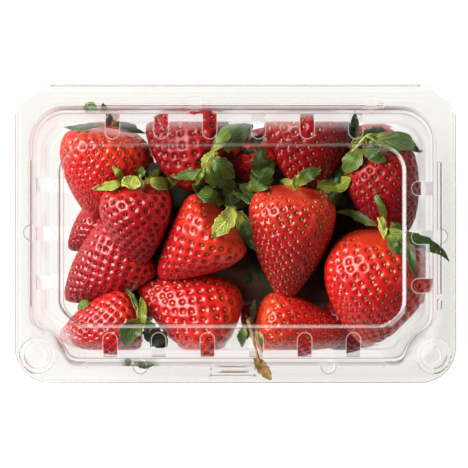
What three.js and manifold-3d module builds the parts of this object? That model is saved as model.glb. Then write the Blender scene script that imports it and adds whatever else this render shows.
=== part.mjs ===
// A clear hinged punnet full of strawberries.
// Millimetres, +Z up. The origin lies on the table under the middle of the pack, the hinge is at +Y.
import * as THREE from 'three';
import { mergeVertices } from 'three/addons/utils/BufferGeometryUtils.js';
import Module from 'manifold-3d';

const wasm = await Module();
wasm.setup();

// ---- Driving dimensions: the pack ----
const SHEET = 0.8; // thickness of the plastic
const FIT_GAP = 0.3; // between the closed lid and the tray
const TRAY_TOP = 54.9; // upper face of the tray's flange
const PACK_HEIGHT = 78;
const CENTRE = [-1.1, -0.8]; // x and y of the middle of the tub and of the dome
const FLANGE_HALF_X = 93;
const FLANGE_FRONT = -62.8;
const FLANGE_BACK = 57.8;
const FRONT_CORNER = 15;
const BACK_CORNER = 9;
const HINGE_HALF_X = 84;
const HINGE_BACK = 62.8; // the hinge line is just behind this edge
const LIP_HEIGHT = 2.6; // turned-down edge of the tray's flange
const CORNER_STEPS = 5;

// Rings of the tub's inside and of the dome's outside: [half x, half y, corner radius, z].
const TUB_RINGS = [
  [75.5, 44.5, 11, SHEET],
  [78.8, 47.8, 13, 4],
  [87, 56, 16, TRAY_TOP + 0.3],
];
const DOME_RINGS = [
  [84.9, 53.6, 13, TRAY_TOP + FIT_GAP],
  [83.1, 51.6, 13, 57.4],
  [81.5, 48.2, 13, 66.8],
  [78.6, 44.6, 12.5, 72.4],
  [73.4, 39.3, 10.8, 76.2],
  [72.2, 38.2, 10, PACK_HEIGHT],
];
// The raised middle of the tray's floor: half x, half y and corner radius of its underside.
const FLOOR_PANEL = [64, 33, 9];
const FLOOR_RISE = 2;
const PANEL_SLOPE = 1.5; // how far the panel's edge leans in as it rises

// ---- Driving dimensions: vents, snap buttons, latch and ribs ----
const VENT_WIDTH = 5.8;
const VENT_PITCH = 20.45;
const VENT_ROWS = [
  // The side it is on, its middle along that side, its square outer end and its round inner end.
  { side: 'back', count: 6, middle: -0.6, outer: 51, inner: 40.1 },
  { side: 'front', count: 6, middle: -1.6, outer: 51.9, inner: 41.5 },
  { side: 'left', count: 3, middle: 0.2, outer: 84.2, inner: 76.1 },
  { side: 'right', count: 3, middle: -1.3, outer: 83.3, inner: 74 },
];
const DRAIN_OUTER = { x: 81.5, y: 50.5 }; // a drain slot's outer end, from the middle of the tub
const DRAIN_REACH = 13; // its length, from outside the wall into the floor
const DRAIN_TOP = 5.5;
const BUTTON_X = 83.5;
const BUTTON_Y = -51.2;
const BUTTON_MOUTH = 6.4; // inner radius of the lid's cup at the flange
const BUTTON_FOOT = 4.9;
const BUTTON_DEPTH = 3;
const SOCKET_FOOT = 6.1; // inner radius of the tray's socket at its floor
const STUD_RADIUS = 3.6; // raised disc on the cup's floor
const SCOOP_RADIUS = 11; // the dome's corner is cut back round the button
const SCOOP_SPREAD = 0.37; // growth of the scoop's radius per millimetre of height
const RIB_HEIGHT = 0.8;
const BUMP_RADIUS = 3.2;
const LATCH = { x: -1.1, y: -57.8, length: 19.4, width: 5 };
const HINGE_RIBS = [56.7, 58.7, 60.7];

// ---- Driving dimensions: the fruit ----
const HEAP_TOP = 71.5;
const HEAP_GAP = 0.5; // between the fruit and the plastic
// The heap's hidden core: its half x, half y and corner radius, and [z, growth] of its rings.
const CORE = [58, 34, 12];
const CORE_LEVELS = [[8, -4], [22, 0], [36, -2]];
const LEAF_THICKNESS = 1.2;
const LEAF_STEPS = 3;

// Each berry of the upper layer runs from its calyx to its tip. girth is its greatest width.
// A sepal is [x, y of its tip, width], laid over what is under it.
const BERRIES = [
  { calyx: [-54.6, 44.6, 46], tip: [-58, 5.5, 43], girth: 38,
    sepals: [[-72.3, 45.6, 4], [-38.2, 45.1, 4], [-59.3, 52, 6]] },
  { calyx: [-12, 32.5, 52], tip: [-34, 47, 40], girth: 28.7,
    sepals: [[-28, 24.5, 5], [1.1, 46.8, 6.3], [-1.9, 23.2, 9.3], [-11.2, 19.4, 6.7]] },
  { calyx: [-41.5, 21.1, 58], tip: [-40.7, -11.8, 44], girth: 31.6,
    sepals: [[-60.5, 19, 4], [-40.7, 28.7, 5.5], [-44.9, 17, 5], [-24.7, 19.4, 5]] },
  { calyx: [-0.6, 8.9, 57], tip: [-31.8, -16.5, 43], girth: 34.6,
    sepals: [[-18.3, 21.1, 9.3], [-9.1, -0.4, 8.4], [11.6, -8.4, 6], [7, -5.1, 4], [17.1, 30.8, 11]] },
  { calyx: [28.5, 19.8, 57], tip: [22.1, -24.5, 43], girth: 38,
    sepals: [[17.5, 22.4, 4], [36.5, 28.3, 5.5], [48.7, 22.8, 6.3], [46.6, 10.5, 5.5]] },
  { calyx: [30.6, 51.5, 48], tip: [34.8, 19.4, 45], girth: 35.4, sepals: [] },
  { calyx: [55, 35.9, 52], tip: [67.7, 0.8, 38], girth: 29.5,
    sepals: [[50.4, 48, 4.2], [79.9, 33.7, 7.2], [46.6, 20.2, 7.2], [63.9, 29.9, 5.5], [68.5, 43, 5]] },
  { calyx: [66, -0.8, 57], tip: [51.7, -38.8, 41], girth: 42.2,
    sepals: [[42.4, 11, 6.3], [74, 5.1, 5.1], [84, -10.5, 5.9], [75.7, -19.4, 3.8]] },
  { calyx: [-39.4, -3.8, 45], tip: [-70.7, -27.8, 34], girth: 30.4, sepals: [] },
  { calyx: [-52.1, 11.8, 30], tip: [-71.1, -5.1, 25], girth: 23.6, sepals: [] },
  { calyx: [-39, -35.9, 41], tip: [-73.2, -40.9, 38], girth: 24.5,
    sepals: [[-39, -26.2, 3.8], [-44.9, -49.4, 8.4], [-29.3, -45.1, 6]] },
  { calyx: [4.9, -36.3, 45], tip: [-42, -24, 41], girth: 30.4, sepals: [[1.5, -47.7, 3.8]] },
  { calyx: [7.8, -40.1, 42], tip: [48.3, -42.2, 36], girth: 26.2,
    sepals: [[11.6, -47.2, 3.8]] },
  { calyx: [36.5, -39, 30], tip: [74.4, -35, 28], girth: 25.3, sepals: [] },
  { calyx: [11.2, 40.5, 40], tip: [2.7, 22.8, 35], girth: 21.9,
    sepals: [[-3.2, 35, 10], [11.6, 46.4, 4.6]] },
];
const LOWER = { length: 35, girth: 27.5, z: 17, rows: [-31.5, 1, 34], columns: [-50, -16, 19, 53] };
const BERRY_SIDES = 12;
const BERRY_STEPS = 7;

// ---- Solids ----
const { degToRad } = THREE.MathUtils;
const vector = (x, y, z) => new THREE.Vector3(x, y, z);

function solidOf(geometry) {
  const bare = geometry.clone();
  bare.deleteAttribute('normal');
  bare.deleteAttribute('uv');
  const merged = mergeVertices(bare, 1e-4);
  const corners = merged.index.array;
  const kept = [];
  for (let i = 0; i < corners.length; i += 3) {
    const [a, b, c] = corners.slice(i, i + 3);
    if (a !== b && b !== c && c !== a) kept.push(a, b, c);
  }
  const vertProperties = new Float32Array(merged.attributes.position.array);
  const triVerts = new Uint32Array(kept);
  return new wasm.Manifold(new wasm.Mesh({ numProp: 3, vertProperties, triVerts }));
}

function geometryOf(solid) {
  const { vertProperties, triVerts } = solid.getMesh();
  const geometry = new THREE.BufferGeometry();
  geometry.setAttribute('position', new THREE.BufferAttribute(vertProperties, 3));
  geometry.setIndex(new THREE.BufferAttribute(triVerts, 1));
  geometry.computeVertexNormals();
  return geometry;
}

const joined = (solids) => solids.reduce((all, solid) => all.add(solid));
const without = (solid, cutters) => cutters.reduce((left, cutter) => left.subtract(cutter), solid);

// A closed skin over rings of equally many points, which run anticlockwise seen from the last ring.
function loft(rings) {
  const count = rings[0].length;
  const points = rings.flat();
  const faces = [];
  for (let level = 0; level < rings.length - 1; level++) {
    for (let k = 0; k < count; k++) {
      const a = level * count + k;
      const b = level * count + ((k + 1) % count);
      faces.push(a, b, b + count, a, b + count, a + count);
    }
  }
  const middle = (ring) => ring.reduce((sum, p) => sum.add(p), vector(0, 0, 0)).divideScalar(count);
  const last = (rings.length - 1) * count;
  points.push(middle(rings[0]), middle(rings.at(-1)));
  for (let k = 0; k < count; k++) {
    const next = (k + 1) % count;
    faces.push(points.length - 2, next, k, points.length - 1, last + k, last + next);
  }
  const geometry = new THREE.BufferGeometry().setFromPoints(points);
  geometry.setIndex(faces);
  return solidOf(geometry);
}

function roundedRing([halfX, halfY, radius, z], grow = 0) {
  const points = [];
  const quarters = [[1, 1], [-1, 1], [-1, -1], [1, -1]];
  quarters.forEach(([sideX, sideY], quarter) => {
    for (let k = 0; k <= CORNER_STEPS; k++) {
      const angle = (Math.PI / 2) * (quarter + k / CORNER_STEPS);
      const x = sideX * (halfX - radius) + (radius + grow) * Math.cos(angle);
      const y = sideY * (halfY - radius) + (radius + grow) * Math.sin(angle);
      points.push(vector(CENTRE[0] + x, CENTRE[1] + y, z));
    }
  });
  return points;
}

// A straight prism over the shape, as a geometry that can still be turned.
const prism = (shape, height, curveSegments) =>
  new THREE.ExtrudeGeometry(shape, { depth: height, bevelEnabled: false, curveSegments });

const extruded = (shape, low, high) => solidOf(prism(shape, high - low, 3).translate(0, 0, low));

// A round cup or stud, standing on z = low.
function frustum(x, y, low, high, lowRadius, highRadius, sides = 16) {
  const geometry = new THREE.CylinderGeometry(highRadius, lowRadius, high - low, sides);
  geometry.rotateX(Math.PI / 2).translate(x, y, (low + high) / 2);
  return solidOf(geometry);
}

// A flat bar from (x0, y0) to (x1, y1) with round ends.
function bar(x0, y0, x1, y1, width, low, high) {
  const length = Math.hypot(x1 - x0, y1 - y0);
  const angle = Math.atan2(y1 - y0, x1 - x0);
  const half = width / 2;
  const shape = new THREE.Shape();
  shape.absarc(length, 0, half, -Math.PI / 2, Math.PI / 2);
  shape.absarc(0, 0, half, Math.PI / 2, (Math.PI * 3) / 2);
  return solidOf(prism(shape, high - low, 2).rotateZ(angle).translate(x0, y0, low));
}

// ---- The flange, with the hinge strip along its back edge ----
function flangeShape(inset) {
  const x = FLANGE_HALF_X - inset;
  const front = FLANGE_FRONT + inset;
  const cornerY = FLANGE_BACK - inset - BACK_CORNER;
  const strip = HINGE_HALF_X - inset;
  const back = HINGE_BACK - inset;
  const turn = degToRad(62);
  const shape = new THREE.Shape();
  shape.moveTo(-x + FRONT_CORNER, front);
  shape.lineTo(x - FRONT_CORNER, front);
  shape.absarc(x - FRONT_CORNER, front + FRONT_CORNER, FRONT_CORNER, -Math.PI / 2, 0);
  shape.absarc(x - BACK_CORNER, cornerY, BACK_CORNER, 0, turn);
  shape.quadraticCurveTo(strip + 1, back - 4.4, strip, back - 2.8);
  shape.quadraticCurveTo(strip - 0.4, back, strip - 3.5, back);
  shape.lineTo(-strip + 3.5, back);
  shape.quadraticCurveTo(-strip + 0.4, back, -strip, back - 2.8);
  shape.quadraticCurveTo(-strip - 1, back - 4.4, -x + BACK_CORNER * (1 - Math.cos(turn)),
    cornerY + BACK_CORNER * Math.sin(turn));
  shape.absarc(-x + BACK_CORNER, cornerY, BACK_CORNER, Math.PI - turn, Math.PI);
  shape.absarc(-x + FRONT_CORNER, front + FRONT_CORNER, FRONT_CORNER, Math.PI, Math.PI * 1.5);
  return shape;
}

const BUTTONS = [-BUTTON_X, BUTTON_X];

// The round bites that keep the tub and the dome clear of the snap buttons.
function scoops(low, high, grow, spread) {
  const radius = (z) => SCOOP_RADIUS + grow + spread * (z - TRAY_TOP);
  return BUTTONS.map((x) => frustum(x, BUTTON_Y, low, high, radius(low), radius(high), 24));
}

// ---- Vents: through slots with a square outer end and a round inner end ----
function slot(side, along, outer, inner, low, high) {
  const half = VENT_WIDTH / 2;
  const shape = new THREE.Shape();
  shape.moveTo(outer, -half);
  shape.lineTo(outer, half);
  shape.absarc(inner + half, 0, half, Math.PI / 2, (Math.PI * 3) / 2);
  const turns = { right: 0, back: 1, left: 2, front: 3 };
  const geometry = prism(shape, high - low, 3).rotateZ((turns[side] * Math.PI) / 2);
  const lengthwise = side === 'front' || side === 'back';
  return solidOf(geometry.translate(lengthwise ? along : 0, lengthwise ? 0 : along, low));
}

function ventRow({ side, count, middle, outer, inner }, low, high) {
  return Array.from({ length: count }, (_, k) => {
    const along = middle + (k - (count - 1) / 2) * VENT_PITCH;
    return slot(side, along, outer, inner, low, high);
  });
}

// ---- Tray ----
function drainRow(row) {
  const outer = {
    right: DRAIN_OUTER.x + CENTRE[0],
    left: DRAIN_OUTER.x - CENTRE[0],
    back: DRAIN_OUTER.y + CENTRE[1],
    front: DRAIN_OUTER.y - CENTRE[1],
  }[row.side];
  return ventRow({ ...row, outer, inner: outer - DRAIN_REACH }, -1, DRAIN_TOP);
}

function makeTray() {
  const flangeLow = TRAY_TOP - SHEET;
  const outside = TUB_RINGS.map(([x, y, r, z]) => [x, y, r, Math.min(z, TRAY_TOP) - (z < 1 ? SHEET : 0)]);
  const inside = TUB_RINGS.map(([x, y, r, z]) => [x, y, r, z > TRAY_TOP ? z + 1 : z]);
  const tubOutside = without(loft(outside.map((r) => roundedRing(r, SHEET))), scoops(-1, 60, 0, 0));
  const tubInside = without(loft(inside.map((r) => roundedRing(r))), scoops(-1, 60, SHEET, 0));
  const lip = extruded(flangeShape(0), TRAY_TOP - LIP_HEIGHT, TRAY_TOP)
    .subtract(extruded(flangeShape(SHEET), 0, PACK_HEIGHT))
    .subtract(bar(-100, 70, 100, 70, 40, 0, PACK_HEIGHT));
  const [panelX, panelY, panelR] = FLOOR_PANEL;
  const lean = PANEL_SLOPE;
  const under = [[panelX, panelY, panelR, -1], [panelX - lean, panelY - lean, panelR, FLOOR_RISE]];
  const above = under.map(([x, y, r, z]) => [x, y, r, z < 0 ? SHEET / 2 : z + SHEET]);
  const spread = (BUTTON_MOUTH - BUTTON_FOOT) / (BUTTON_DEPTH + SHEET);
  const cupLow = TRAY_TOP - BUTTON_DEPTH - FIT_GAP;
  const socketWidth = (z) => SOCKET_FOOT + spread * (z - cupLow);
  const cups = BUTTONS.map((x) => frustum(x, BUTTON_Y, cupLow - SHEET, TRAY_TOP,
    SOCKET_FOOT + SHEET, socketWidth(TRAY_TOP) + SHEET));
  const sockets = BUTTONS.map((x) => frustum(x, BUTTON_Y, cupLow, PACK_HEIGHT,
    SOCKET_FOOT, socketWidth(PACK_HEIGHT)));
  const shell = joined([tubOutside, extruded(flangeShape(0), flangeLow, TRAY_TOP), lip, ...cups])
    .subtract(tubInside)
    .add(loft(above.map((r) => roundedRing(r, SHEET))))
    .subtract(loft(under.map((r) => roundedRing(r))));
  return without(shell, [...sockets, ...VENT_ROWS.flatMap(drainRow)]);
}

// ---- Lid ----
const LID_LOW = TRAY_TOP + FIT_GAP;
const LID_FLANGE_TOP = LID_LOW + SHEET;

// Snap ribs on the flange round the dome, each with a round bump, and the latch tab in front.
function snapRibs() {
  const low = LID_LOW;
  const high = LID_FLANGE_TOP + RIB_HEIGHT;
  const ribs = [
    bar(-87.6, -30, -87.6, 30, 2.2, low, high),
    bar(87.4, -24, 87.4, 29, 2.2, low, high),
    bar(87, -32, 87, -28, 2.2, low, high),
    bar(-62, -56.6, 62, -56.6, 3, low, high),
    bar(-62, 54.6, 62, 54.6, 1.6, low, high),
  ];
  const bumps = [[-88.2, 0.4], [88.2, -1.2], [-40, -58.2], [39.3, -58.2], [-17, 55.2], [57, 55.2]];
  return [...ribs, ...bumps.map(([x, y]) => frustum(x, y, low, high, BUMP_RADIUS, BUMP_RADIUS - 0.4, 10))];
}

function latchTab() {
  const left = LATCH.x - LATCH.length / 2 + LATCH.width / 2;
  const right = LATCH.x + LATCH.length / 2 - LATCH.width / 2;
  const top = LID_FLANGE_TOP + RIB_HEIGHT;
  const pad = bar(left, LATCH.y, right, LATCH.y, LATCH.width, LID_LOW, top);
  const ridge = (y) => bar(left, y, right, y, 0.8, top - 0.4, top + 0.5);
  return [pad, ridge(LATCH.y - 1.2), ridge(LATCH.y + 1.2)];
}

function makeLid() {
  const rings = DOME_RINGS;
  const inner = rings.map(([x, y, r, z], k) => [x - SHEET, y - SHEET, r - SHEET, k ? z - SHEET : z - 1]);
  const dome = without(loft(rings.map((r) => roundedRing(r))), scoops(50, 80, 0, SCOOP_SPREAD));
  const hollow = without(loft(inner.map((r) => roundedRing(r))), scoops(50, 80, SHEET, SCOOP_SPREAD));
  const ribX = HINGE_HALF_X - 6;
  const [ribLow, ribHigh] = [LID_FLANGE_TOP - 0.4, LID_FLANGE_TOP + 0.5];
  const hingeRibs = HINGE_RIBS.map((y) => bar(-ribX, y, ribX, y, 0.8, ribLow, ribHigh));
  const cupLow = TRAY_TOP - BUTTON_DEPTH + 0.1;
  const cupSpread = BUTTON_MOUTH + SHEET;
  const cups = BUTTONS.flatMap((x) => [
    frustum(x, BUTTON_Y, cupLow, LID_FLANGE_TOP, BUTTON_FOOT + SHEET, cupSpread),
    frustum(x, BUTTON_Y, LID_FLANGE_TOP - 0.1, LID_FLANGE_TOP + 0.6, cupSpread + 0.2, cupSpread - 0.2),
  ]);
  const wellTop = LID_FLANGE_TOP + 1;
  const wells = BUTTONS.map((x) => frustum(x, BUTTON_Y, cupLow + SHEET, wellTop,
    BUTTON_FOOT, BUTTON_MOUTH));
  const studs = BUTTONS.map((x) => frustum(x, BUTTON_Y, cupLow + SHEET / 2, cupLow + 2,
    STUD_RADIUS, STUD_RADIUS - 0.4, 10));
  const plate = extruded(flangeShape(0), LID_LOW, LID_FLANGE_TOP);
  const shell = joined([plate, dome, ...snapRibs(), ...latchTab(), ...hingeRibs, ...cups]);
  const vents = VENT_ROWS.flatMap((row) => ventRow(row, LID_FLANGE_TOP + 1.2, PACK_HEIGHT + 1));
  return without(shell.subtract(hollow), [...wells, ...vents]).add(joined(studs));
}

// ---- Fruit ----
// Share of half the girth at share t of the way from calyx to tip: broad shoulders, a blunt tip.
const fullness = (t) => Math.sqrt(Math.max(0, 1 - (2 * t ** 0.6 - 1) ** 2)) ** 1.1;

function berrySolid({ calyx, tip, girth }, sides, steps, turn) {
  const from = vector(...calyx);
  const along = vector(...tip).sub(from);
  const length = along.length();
  const profile = Array.from({ length: steps + 1 }, (_, k) => {
    const t = (1 - Math.cos((Math.PI * k) / steps)) / 2;
    return new THREE.Vector2((girth / 2) * fullness(t), length * t);
  });
  profile[0].x = 0;
  profile.at(-1).x = 0;
  const geometry = new THREE.LatheGeometry(profile, sides);
  const places = geometry.attributes.position;
  for (let i = 0; i < places.count; i++) {
    const angle = Math.atan2(places.getZ(i), places.getX(i)) + turn;
    const uneven = 1 + 0.05 * Math.cos(2 * angle) + 0.03 * Math.cos(3 * angle + 1);
    places.setX(i, places.getX(i) * uneven);
    places.setZ(i, places.getZ(i) * uneven);
  }
  const turned = new THREE.Quaternion().setFromUnitVectors(vector(0, 1, 0), along.normalize());
  geometry.applyQuaternion(turned).translate(from.x, from.y, from.z);
  return solidOf(geometry);
}

// Height of the fruit at (x, y), or -Infinity beside it.
function heapHeight(x, y) {
  let top = -Infinity;
  for (const { calyx, tip, girth } of BERRIES) {
    const [dx, dy] = [tip[0] - calyx[0], tip[1] - calyx[1]];
    const plan = Math.hypot(dx, dy);
    const t = ((x - calyx[0]) * dx + (y - calyx[1]) * dy) / plan ** 2;
    if (t <= 0 || t >= 1) continue;
    const aside = ((x - calyx[0]) * dy - (y - calyx[1]) * dx) / plan;
    const over = ((girth / 2) * fullness(t)) ** 2 - aside ** 2;
    if (over > 0) top = Math.max(top, calyx[2] + t * (tip[2] - calyx[2]) + Math.sqrt(over));
  }
  return top;
}

// A sepal: a thin sheet with a raised midrib, laid over the fruit from the calyx outwards.
function sepalSolid([startX, startY, startZ], [tipX, tipY, width]) {
  const heading = vector(tipX - startX, tipY - startY, 0).normalize();
  const across = vector(-heading.y, heading.x, 0);
  const rings = [];
  for (let k = 0; k <= LEAF_STEPS; k++) {
    const s = k / LEAF_STEPS;
    const x = startX + (tipX - startX) * s;
    const y = startY + (tipY - startY) * s;
    const resting = heapHeight(x, y) + 0.2;
    const free = startZ + 3 * Math.sin(Math.PI * s) - 3 * s;
    const z = Math.min(Math.max(resting, free), HEAP_TOP - LEAF_THICKNESS);
    const half = (width / 2) * (0.15 + 0.85 * Math.sin(Math.PI * (0.15 + 0.83 * s)));
    const droop = k % 2 ? 0.5 : 0.9;
    const mid = vector(x, y, z);
    const left = mid.clone().addScaledVector(across, half).setZ(z - droop);
    const right = mid.clone().addScaledVector(across, -half).setZ(z - droop);
    const upper = mid.clone().setZ(z + LEAF_THICKNESS / 2);
    const lower = mid.clone().setZ(z - LEAF_THICKNESS / 2);
    rings.push([left, upper, right, lower]);
  }
  return loft(rings);
}

// The short stalk and the boss that the sepals spring from.
function calyxBoss({ calyx, tip }) {
  const outward = vector(...calyx).sub(vector(...tip)).normalize();
  const geometry = new THREE.CylinderGeometry(1.4, 3.4, 7, 6);
  const turned = new THREE.Quaternion().setFromUnitVectors(vector(0, 1, 0), outward);
  const middle = vector(...calyx).addScaledVector(outward, -1);
  return solidOf(geometry.applyQuaternion(turned).translate(middle.x, middle.y, middle.z));
}

// The hidden lower layer: rows of smaller berries on the floor, each turned a little differently.
function lowerBerries() {
  return LOWER.rows.flatMap((y, row) => LOWER.columns.map((x, column) => {
    const angle = 0.5 * Math.sin(2.3 * row + 1.7 * column) + (column % 2 ? Math.PI : 0);
    const half = LOWER.length / 2;
    const reach = vector(Math.cos(angle) * half, Math.sin(angle) * half * 0.6, 0);
    const z = LOWER.z + 0.8 * Math.sin(row + 2 * column);
    return {
      calyx: [x - reach.x, y - reach.y, z],
      tip: [x + reach.x, y + reach.y, z - 1],
      girth: LOWER.girth,
    };
  }));
}

// The room inside the closed pack, clear of the plastic all round.
function freeRoom() {
  const tub = TUB_RINGS.slice(1).map(([x, y, r, z]) => [x, y, r, Math.min(z, TRAY_TOP)]);
  tub.unshift([...TUB_RINGS[1].slice(0, 3), FLOOR_RISE + SHEET + HEAP_GAP]);
  const [, foot, wall, shoulder] = DOME_RINGS;
  const dome = [foot, wall, [shoulder[0], shoulder[1], shoulder[2], HEAP_TOP]];
  const rings = [tub[0], tub[1], ...dome].map((r) => roundedRing(r, -SHEET - HEAP_GAP));
  const clearance = SHEET + HEAP_GAP;
  const bites = [...scoops(-1, 60, clearance, 0), ...scoops(50, 90, clearance, SCOOP_SPREAD)];
  return without(loft(rings), bites);
}

// Fuses the pieces, fills any hollow that this seals and drops loose scraps.
function fused(pieces) {
  const parts = joined(pieces).decompose();
  return parts.reduce((best, part) => (part.volume() > best.volume() ? part : best));
}

function makeHeap() {
  const core = loft(CORE_LEVELS.map(([z, grow]) => roundedRing([...CORE, z], grow)));
  const upper = BERRIES.map((berry, k) => berrySolid(berry, BERRY_SIDES, BERRY_STEPS, 1.9 * k));
  const lower = lowerBerries().map((berry, k) => berrySolid(berry, 8, 5, 1.3 * k));
  const crowned = BERRIES.filter(({ sepals }) => sepals.length > 0);
  const sepals = BERRIES.flatMap(({ calyx, sepals: tips }) => tips.map((tip) => sepalSolid(calyx, tip)));
  return fused([core, ...lower, ...upper, ...crowned.map(calyxBoss), ...sepals]).intersect(freeRoom());
}

// ---- The part ----
const part = new THREE.Group();

function addNode(name, solid, material) {
  const mesh = new THREE.Mesh(geometryOf(solid), new THREE.MeshStandardMaterial(material));
  mesh.name = name;
  part.add(mesh);
}

const clearPlastic = { color: 0xf2f3f1, roughness: 0.08, metalness: 0, transparent: true, opacity: 0.3 };
addNode('tray', makeTray(), clearPlastic);
addNode('lid', makeLid(), clearPlastic);
addNode('berries', makeHeap(), { color: 0xc4141f, roughness: 0.35, metalness: 0 });

export default part;
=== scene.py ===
import math

import bpy
import numpy as np
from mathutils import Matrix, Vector
from mathutils.geometry import delaunay_2d_cdt


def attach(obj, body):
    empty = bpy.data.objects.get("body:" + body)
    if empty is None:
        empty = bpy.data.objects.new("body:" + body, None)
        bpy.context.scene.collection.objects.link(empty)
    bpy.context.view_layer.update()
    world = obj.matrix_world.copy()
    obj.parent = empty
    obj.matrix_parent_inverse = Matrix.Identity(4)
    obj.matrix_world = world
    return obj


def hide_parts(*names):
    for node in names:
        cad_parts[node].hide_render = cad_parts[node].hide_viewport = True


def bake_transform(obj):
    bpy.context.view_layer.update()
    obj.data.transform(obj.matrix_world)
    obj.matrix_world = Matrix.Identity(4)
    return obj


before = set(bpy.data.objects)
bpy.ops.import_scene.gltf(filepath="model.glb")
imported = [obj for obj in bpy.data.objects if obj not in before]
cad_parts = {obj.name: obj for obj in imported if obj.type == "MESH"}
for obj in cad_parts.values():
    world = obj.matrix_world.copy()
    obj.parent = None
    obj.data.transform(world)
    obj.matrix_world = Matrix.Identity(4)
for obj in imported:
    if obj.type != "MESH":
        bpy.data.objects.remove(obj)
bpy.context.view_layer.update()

# Places and sizes below are in millimetres, in the frame's own axes: +X right, +Y to the hinge, +Z up.
MM = 0.001
QUARTER = math.pi / 2

# ---- The pack ----
FILM = 0.45  # thickness of the clear film
TRAY_TOP = 54.9
CENTRE = (-1.1, -0.8)
FLANGE_X = 93.0
FLANGE_FRONT, FLANGE_BACK = -62.8, 57.8
FRONT_CORNER, BACK_CORNER = 15.0, 9.0
STRIP_X, STRIP_BACK = 84.0, 62.8
BUTTON_X, BUTTON_Y = 83.5, -51.2
SCOOP_RADIUS = 11.0
VENT_WIDTH, VENT_PITCH = 5.8, 20.45
# Side, number of slots, their middle along the side, the square outer end and the round inner end.
VENT_ROWS = (
    ("back", 6, -0.6, 51.0, 40.1),
    ("front", 6, -1.6, 51.9, 41.5),
    ("left", 3, 0.2, 84.2, 76.1),
    ("right", 3, -1.3, 83.3, 74.0),
)
# Outer ends of the drain slots in the tray's foot, and their length.
DRAINS = {"back": 47.2, "front": 48.8, "left": 80.1, "right": 77.9}
DRAIN_LENGTH = 10.5

# ---- The fruit: calyx, tip, girth, (where it is widest, how pointed), pit spacing, (deep, bright, warm)
# colours, warmth at the calyx, seed colour ----
SCARLET = ((0.30, 0.003, 0.005), (0.58, 0.006, 0.008), (0.82, 0.075, 0.016))
CRIMSON = ((0.16, 0.002, 0.005), (0.42, 0.004, 0.009), (0.74, 0.05, 0.016))
GARNET = ((0.09, 0.002, 0.005), (0.27, 0.003, 0.009), (0.55, 0.03, 0.015))
# PAINTED_LIT_SCARLET is scarlet made brighter for the small berry that sits in shade between the leaves: painted light.
PAINTED_LIT_SCARLET = ((0.42, 0.005, 0.007), (0.80, 0.014, 0.012), (0.90, 0.09, 0.02))
GOLD, RUST, WINE = (0.60, 0.28, 0.06), (0.38, 0.11, 0.03), (0.16, 0.018, 0.012)
BERRIES = (
    ((-53.5, 45.1, 43), (-59.9, 5.8, 38), 38.0, (0.50, 1.45), 3.4, SCARLET, 0.9, RUST),
    ((-6.6, 32.5, 50), (-37.6, 46.3, 42), 36.2, (0.54, 1.36), 4.9, GARNET, 0.9, RUST),
    ((-42.8, 21.6, 58), (-40.5, -13.7, 48), 30.7, (0.54, 1.36), 4.0, CRIMSON, 0.35, WINE),
    ((-4.5, 6.3, 56), (-32.4, -18.3, 44), 34.8, (0.37, 1.42), 4.5, SCARLET, 0.8, RUST),
    ((25.2, 19.6, 56), (20.7, -28.8, 42), 36.6, (0.47, 1.50), 3.6, CRIMSON, 1.0, GOLD),
    ((30.9, 51.2, 46), (30.5, 17.5, 43), 36.6, (0.42, 1.17), 4.3, GARNET, 0.0, GOLD),
    ((59.3, 36.9, 50), (68.0, -2.7, 38), 31.7, (0.58, 1.10), 3.9, GARNET, 0.8, RUST),
    ((63.5, 1.1, 53), (55.3, -47.9, 40), 46.0, (0.63, 1.55), 4.3, SCARLET, 0.7, GOLD),
    ((-39.5, -1.5, 40), (-72.1, -28.0, 30), 32.6, (0.45, 1.35), 3.8, CRIMSON, 0.3, WINE),
    ((-49.7, 11.7, 30), (-70.7, -6.4, 25), 20.2, (0.49, 1.25), 2.9, CRIMSON, 0.0, WINE),
    ((-40.2, -35.4, 41), (-74.4, -43.6, 38), 27.0, (0.48, 1.27), 3.5, SCARLET, 0.5, WINE),
    ((0.8, -40.4, 38), (-42.3, -21.1, 36), 35.1, (0.55, 1.67), 4.6, SCARLET, 0.7, GOLD),
    ((8.7, -36.5, 41), (49.0, -43.5, 35), 27.5, (0.49, 1.32), 3.6, SCARLET, 1.0, GOLD),
    ((36.5, -39, 28), (74.4, -35, 26), 25.3, (0.5, 1.2), 3.4, GARNET, 0.0, RUST),
    ((11.2, 40.5, 44), (2.7, 22.8, 39), 21.9, (0.5, 1.2), 3.4, PAINTED_LIT_SCARLET, 0.5, RUST),
)
LOWER_SHAPE = (0.55, 1.2)
LOWER_ROWS, LOWER_COLUMNS = (-31.5, 1.0, 34.0), (-50.0, -16.0, 19.0, 53.0)
LOWER_LENGTH, LOWER_GIRTH, LOWER_Z, LOWER_SPACING = 35.0, 27.5, 17.0, 3.9
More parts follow.
